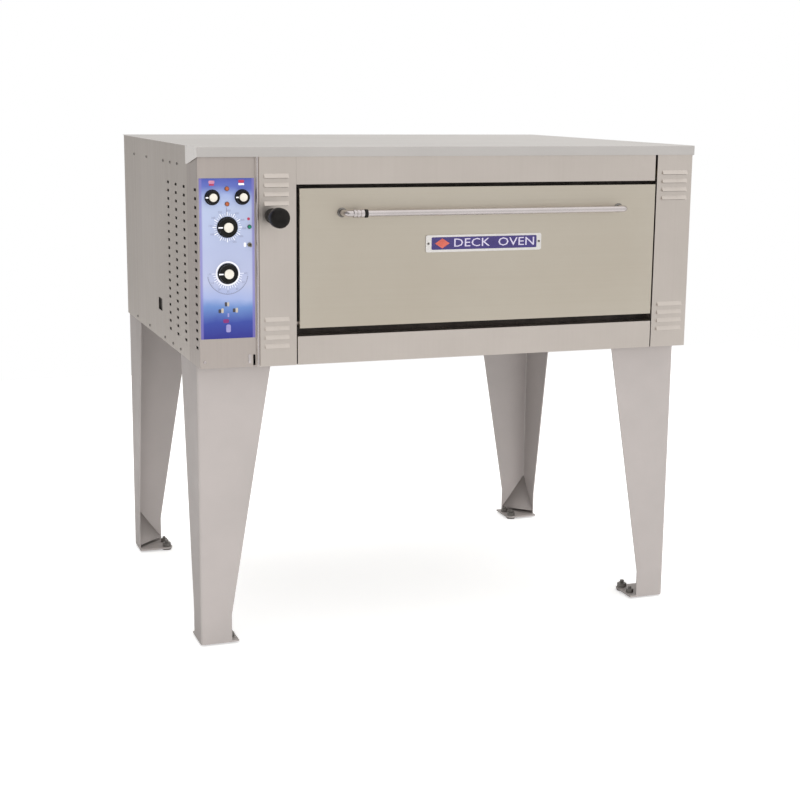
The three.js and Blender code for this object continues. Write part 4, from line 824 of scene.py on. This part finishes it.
# %% Timer scale
ARC_INNER, ARC_OUTER, NUMBER_RADIUS = 51.5 * MM, 53.2 * MM, 46 * MM
centre, radius = knobs["timer"]
shape = bmesh.new()
ink_ring(shape, centre, radius + 0.8 * MM, radius + 4.8 * MM, 0, 360, 72)
for step in range(19):
    ink_tick(shape, centre, radius + 5.2 * MM, 38 * MM if step % 3 else 41 * MM, 1.2 * MM,
             math.radians(180 + step * 10))
publish("timer_halo", shape, "casing", white_ink_painted_glow)
shape = bmesh.new()
ink_ring(shape, centre, ARC_INNER, ARC_OUTER, 188, 164, 48)
for index, number in enumerate(range(0, 70, 10)):
    angle = math.radians(180 + index * 30)
    ink_text(shape, str(number), centre.x + NUMBER_RADIUS * math.cos(angle),
             centre.z + NUMBER_RADIUS * math.sin(angle), 7.2 * MM)
for step in range(37):
    ink_tick(shape, centre, 49.5 * MM, 52.5 * MM, 0.8 * MM, math.radians(180 + step * 5))
publish("timer_scale", shape, "casing", grey_ink)
print("timer scale round", [round(v, 3) for v in centre])

# %% Small marks
MARK_ORIGIN = CASING_LEFT - 3 * MM
MARKS = {  # ink, then patches of (millimetres from the left, height, width, tall)
    "top_heat_mark_lower": (red_ink, [(38, 1229, 13, 4)]),
    "top_heat_mark": (rose_ink, [(38, 1235.5, 15, 8)]),
    "bottom_heat_mark_upper": (red_ink, [(114, 1237, 15, 7)]),
    "bottom_heat_mark": (white_ink_painted_glow, [(114, 1230, 15, 5)]),
    "power_mark": (red_ink, [(132, 1143, 7, 7)]),
    "switch_mark": (white_ink_painted_glow, [(122, 1078, 6, 11)]),
    "lamp_line": (grey_ink, [(75.5, 1163, 1.5, 18)]),
    "foot_marks_dark": (dark_ink, [(71, 928, 6, 11), (55, 911, 7, 10), (92, 912, 7, 10)]),
    "foot_marks_buff": (buff_ink, [(77, 928, 5, 11), (62, 912, 6, 12), (99, 912, 6, 12)]),
    "foot_mark_plum": (plum_ink, [(71, 885, 15, 10)]),
    "foot_mark_lilac": (lilac_ink, [(77, 866, 12, 20), (77, 900, 4, 10)]),
}
for name, (material, patches) in MARKS.items():
    shape = bmesh.new()
    for from_left, z, width, tall in patches:
        x = MARK_ORIGIN + from_left * MM
        block(shape, (x - width / 2 * MM, ink_back - INK, (z - tall / 2) * MM),
              (x + width / 2 * MM, ink_back, (z + tall / 2) * MM), corner=min(width, tall) * 0.35 * MM)
    publish(name, shape, "casing", material)
print("film marks", len(MARKS))

# %% [markdown]
# ## The damper pull
# A black knob on a dark neck that slides straight out of the left post.  Both are turned
# shapes; the knob's rim is a wide chamfer, as on a moulded pull.

# %% Damper knob and collar
low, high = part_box("damper_knob")
x, z = (low.x + high.x) / 2, (low.z + high.z) / 2
radius, length = (high.z - low.z) / 2, high.y - low.y
shape = bmesh.new()
turned(shape, [*millimetres((0, 20), (4.5, 20), (4.5, 0), (11, 0), (13, 1.5), (13.6, 7)),
               (radius - 4 * MM, 11 * MM), (radius - 1 * MM, 14 * MM), (radius, 18 * MM),
               (radius, length - 9 * MM), (radius - 1.2 * MM, length - 5.5 * MM),
               (radius - 4 * MM, length - 1.6 * MM), (radius - 7 * MM, length), (0, length)],
       (x, high.y, z), steps=56)
publish("damper_pull", shape, "damper", black_knob, ["damper_knob"])
bush_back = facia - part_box("damper_bush")[1].y
shape = bmesh.new()
turned(shape, [(5.2 * MM, bush_back), (10.8 * MM, bush_back),
               *millimetres((10.8, 0.3), (18.6, 0.3), (19, 0.9), (19, 3.2), (18, 4.2), (16, 5), (15.4, 12),
                            (16, 13), (16, 15), (15, 16), (14, 22.6), (13, 24), (6.2, 24), (5.2, 23)),
               (5.2 * MM, bush_back)], (x, facia, z), steps=48)
publish("damper_collar", shape, "casing", collar_paint, ["damper_bush"])
print("damper pull at", round(x, 3), round(z, 3))

# %% [markdown]
# ## Door handle
# A straight bar stands off the door on two bent ends.  At the left it runs through a turned
# coupling with grooves and a dark clamp ring.  A curve with a round bevel makes the bar,
# because it keeps the tube's thickness true round the bends.

# %% Handle bar
TUBE, BEND, DOOR_GAP = 8.5 * MM, 14 * MM, 0.3 * MM
low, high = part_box("handle_bar")
bar_y, bar_z = low.y + TUBE, (low.z + high.z) / 2
left_end, right_end = low.x + TUBE, high.x - TUBE
door_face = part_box("door_skin")[0].y


def bent_end(x, inward):
    """The centre line of one end, from the door round to the bar."""
    line = [Vector((x, door_face - DOOR_GAP, bar_z))]
    for step in range(9):
        angle = math.radians(step * 90 / 8)
        line.append(Vector((x + inward * BEND * (1 - math.cos(angle)), bar_y + BEND * (1 - math.sin(angle)), bar_z)))
    return line


centre_line = bent_end(left_end, 1) + bent_end(right_end, -1)[::-1]
curve = bpy.data.curves.new("handle_tube", "CURVE")
curve.dimensions = "3D"
curve.bevel_depth, curve.bevel_resolution, curve.use_fill_caps = TUBE - 0.2 * MM, 5, True
spline = curve.splines.new("POLY")
spline.points.add(len(centre_line) - 1)
for point, place in zip(spline.points, centre_line):
    point.co = (*place, 1)
mesh = mesh_of(curve)
shape = bmesh.new()
shape.from_mesh(mesh)
bpy.data.meshes.remove(mesh)
bmesh.ops.remove_doubles(shape, verts=shape.verts, dist=WELD)
bmesh.ops.recalc_face_normals(shape, faces=shape.faces)
publish("handle_tube", shape, "door", polished_steel, ["handle_bar"])
print("handle from", round(left_end, 3), "to", round(right_end, 3))

# %% Coupling, clamp ring and roses
COUPLING = millimetres((8.9, 0), (10.4, 0.6), (11, 1.4), (11, 6), (9.2, 6.8), (9.2, 9.6), (11, 10.4), (11, 16),
                       (9.2, 16.8), (9.2, 19.6), (11, 20.4), (11, 28), (10.2, 29.4), (9.4, 30.4), (8.9, 30.4),
                       (8.9, 0))
CLAMP_RING = millimetres((8.9, 31), (10.6, 31.2), (10.9, 32), (10.9, 38), (10.6, 38.8), (8.9, 39), (8.9, 31))
ROSE = millimetres((8.6, 0.3), (12, 0.3), (12.4, 0.8), (12.4, 2.2), (11.4, 3.2), (10, 3.6), (8.6, 5.4), (8.6, 0.3))
sleeve_start = (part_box("handle_sleeve")[0].x, bar_y, bar_z)
for name, profile, place, toward, slot, material, replaced in (
        ("handle_coupling", COUPLING, sleeve_start, "right", "polished_steel", polished_steel, ["handle_sleeve"]),
        ("handle_clamp_ring", CLAMP_RING, sleeve_start, "right", "black_knob", black_knob, []),
        ("handle_rose_left", ROSE, (left_end, door_face, bar_z), "front", "polished_steel", zinc_steel, []),
        ("handle_rose_right", ROSE, (right_end, door_face, bar_z), "front", "polished_steel", zinc_steel, [])):
    shape = bmesh.new()
    turned(shape, profile, place, toward=toward)
    publish(name, shape, "door", material, replaced)
print("coupling, ring and roses made")

# %% [markdown]
# ## Nameplate
# A thin aluminium plate with rounded corners and a navy enamel field.  It carries only the
# plain words for what the oven is and a small coral lozenge.  Two screws hold it to the door.

# %% Nameplate
LETTER_SIZE, LETTER_STRETCH, RELIEF = 31 * MM, 1.3, 0.5 * MM
plate_low, plate_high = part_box("nameplate")
shape = bmesh.new()
block(shape, plate_low, plate_high, corner=5 * MM, rim=0.5 * MM)
publish("nameplate_backing", shape, "door", plate_metal, ["nameplate"])
field_low = Vector((plate_low.x + 16 * MM, plate_low.y - 0.5 * MM, plate_low.z + 6.5 * MM))
field_high = Vector((plate_high.x - 14 * MM, plate_low.y + 0.4 * MM, plate_high.z - 5.5 * MM))
shape = bmesh.new()
block(shape, field_low, field_high, corner=3 * MM, rim=0.2 * MM)
publish("nameplate_field", shape, "door", navy_enamel)
plate_z = (field_low.z + field_high.z) / 2
words_x, badge_x = (field_low.x + field_high.x) / 2 + 28 * MM, field_low.x + 30 * MM
shape = bmesh.new()
ink_text(shape, "DECK  OVEN", words_x, plate_z, LETTER_SIZE, RELIEF, field_low.y)
bmesh.ops.scale(shape, vec=(LETTER_STRETCH, 1, 1), verts=shape.verts, space=Matrix.Translation((-words_x, 0, 0)))
publish("nameplate_words", shape, "door", plate_white)
shape = bmesh.new()
made = bmesh.ops.create_circle(shape, cap_ends=True, segments=4, radius=13 * MM)["verts"]
bmesh.ops.scale(shape, vec=(1.6, 1, 1), verts=made)
raise_faces(shape, shape.faces[:], (0, 0, RELIEF))
bmesh.ops.rotate(shape, verts=shape.verts, cent=CENTRE, matrix=quarter_turn(90, "X"))
bmesh.ops.translate(shape, verts=shape.verts, vec=(badge_x, field_low.y, plate_z))
bmesh.ops.recalc_face_normals(shape, faces=shape.faces)
publish("nameplate_lozenge", shape, "door", coral_enamel)
print("nameplate", [round(v, 3) for v in plate_high - plate_low])

# %% [markdown]
# ## Foot bolts
# Each foot plate has a hexagon bolt beside the levelling foot.  A washer and the threaded end
# are turned; the nut is a circle of six sides, raised.

# %% Foot bolts
SOLE, FOOT_PLATE = 5 * MM, 104 * MM
NUT_ACROSS, NUT_TALL, NUT_INSET, NUT_SETBACK = 22 * MM, 14 * MM, 10 * MM, 34 * MM
NUT_SHRINK = 0.84
for leg in LEGS:
    corner, inward_x, inward_y = outer_corner(leg)
    at = corner + Vector((inward_x * (FOOT_PLATE - NUT_INSET - NUT_ACROSS / 4), inward_y * NUT_SETBACK, SOLE))
    shape = bmesh.new()
    turned(shape, [(0, 0), (NUT_ACROSS / 2, 0), (NUT_ACROSS / 2, 2 * MM), (0, 2 * MM)], at, steps=28, toward="up")
    nut = bmesh.ops.create_circle(shape, cap_ends=True, segments=6,
                                  radius=NUT_ACROSS / math.sqrt(3) * NUT_SHRINK)["verts"]
    bmesh.ops.translate(shape, verts=nut, vec=at + Vector((0, 0, 2 * MM)))
    raise_faces(shape, list({face for vert in nut for face in vert.link_faces}), (0, 0, NUT_TALL - 5 * MM))
    turned(shape, [(0, NUT_TALL - 3.2 * MM), (4.6 * MM, NUT_TALL - 3.2 * MM), (4.6 * MM, NUT_TALL + 3 * MM),
                   (3.8 * MM, NUT_TALL + 4 * MM), (0, NUT_TALL + 4 * MM)], at, steps=20, toward="up")
    bmesh.ops.recalc_face_normals(shape, faces=shape.faces)
    publish(leg.replace("leg", "foot_bolt"), shape, "casing", zinc_steel)
print("foot bolts", len(LEGS))

# %% [markdown]
# ## Vent baffles
# Through the slots one would look straight into the controls and out at the back.  A dark
# plate a few millimetres behind the left side closes the view, as the insulation does; its dark colour is painted
# shade for the hollow behind the slots.

# %% Vent baffles
BAFFLE_BEHIND, BAFFLE_THICK = 5 * MM, 0.8 * MM
side_low, side_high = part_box("left_side_panel")
for name, start, end, lift, drop in (("vent_baffle", 142, 600, 40, 50), ("vent_baffle_front", 18, 75, 30, 40)):
    shape = bmesh.new()
    x = CASING_LEFT + BAFFLE_BEHIND
    block(shape, (x, facia + start * MM, side_low.z + lift * MM),
          (x + BAFFLE_THICK, facia + end * MM, side_high.z - drop * MM), corner=3 * MM, axis=0)
    publish(name, shape, "casing", vent_shade_baffle_steel)
print("two baffles made")

# %% [markdown]
# ## Screws
# Pan-head screws close the side panels, the rear panel and the nameplate.  One turned
# profile with a small socket in the head serves them all, at different sizes.

# %% Screw maker
SCREW = 4 * MM
UPPER_ROW, LOWER_ROW = 1270, 777
SIDE_SCREWS = [(450, UPPER_ROW), (352, UPPER_ROW), (258, UPPER_ROW), (900, UPPER_ROW), (700, UPPER_ROW),
               (467, LOWER_ROW), (353, LOWER_ROW), (252, LOWER_ROW), (700, LOWER_ROW), (900, LOWER_ROW)]


def screws(name, places, radius, toward, body="casing", finish=zinc_steel):
    """Low domed heads with a round socket, standing just off a surface."""
    head = [(0, 0.05 * MM), (radius, 0.05 * MM), (radius, radius * 0.25), (radius * 0.86, radius * 0.48),
            (radius * 0.6, radius * 0.62), (radius * 0.38, radius * 0.66), (radius * 0.3, radius * 0.3),
            (0, radius * 0.3)]
    shape = bmesh.new()
    for place in places:
        turned(shape, head, place, steps=20, toward=toward)
    publish(name, shape, body, finish)


for side, x in (("left", side_low.x), ("right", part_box("right_side_panel")[1].x)):
    screws("side_screws_" + side, [(x, facia + behind * MM, z * MM) for behind, z in SIDE_SCREWS], SCREW, side)
rear_low, rear_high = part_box("rear_panel")
rear_pitch = (rear_high.x - rear_low.x - 50 * MM) / 5
screws("rear_screws", [(rear_low.x + 25 * MM + column * rear_pitch, rear_high.y, z) for column in range(6)
                       for z in (rear_low.z + 14 * MM, rear_high.z - 40 * MM)], SCREW, "back")
screws("nameplate_screws", [(x, plate_low.y, plate_z) for x in (plate_low.x + 7 * MM, plate_high.x - 7 * MM)],
       3.2 * MM, "front", "door")
screws("control_panel_screw", [(CASING_LEFT + 12 * MM, panel_face, 781 * MM)], SCREW, "front",
       finish=polished_steel)
print("screws placed")
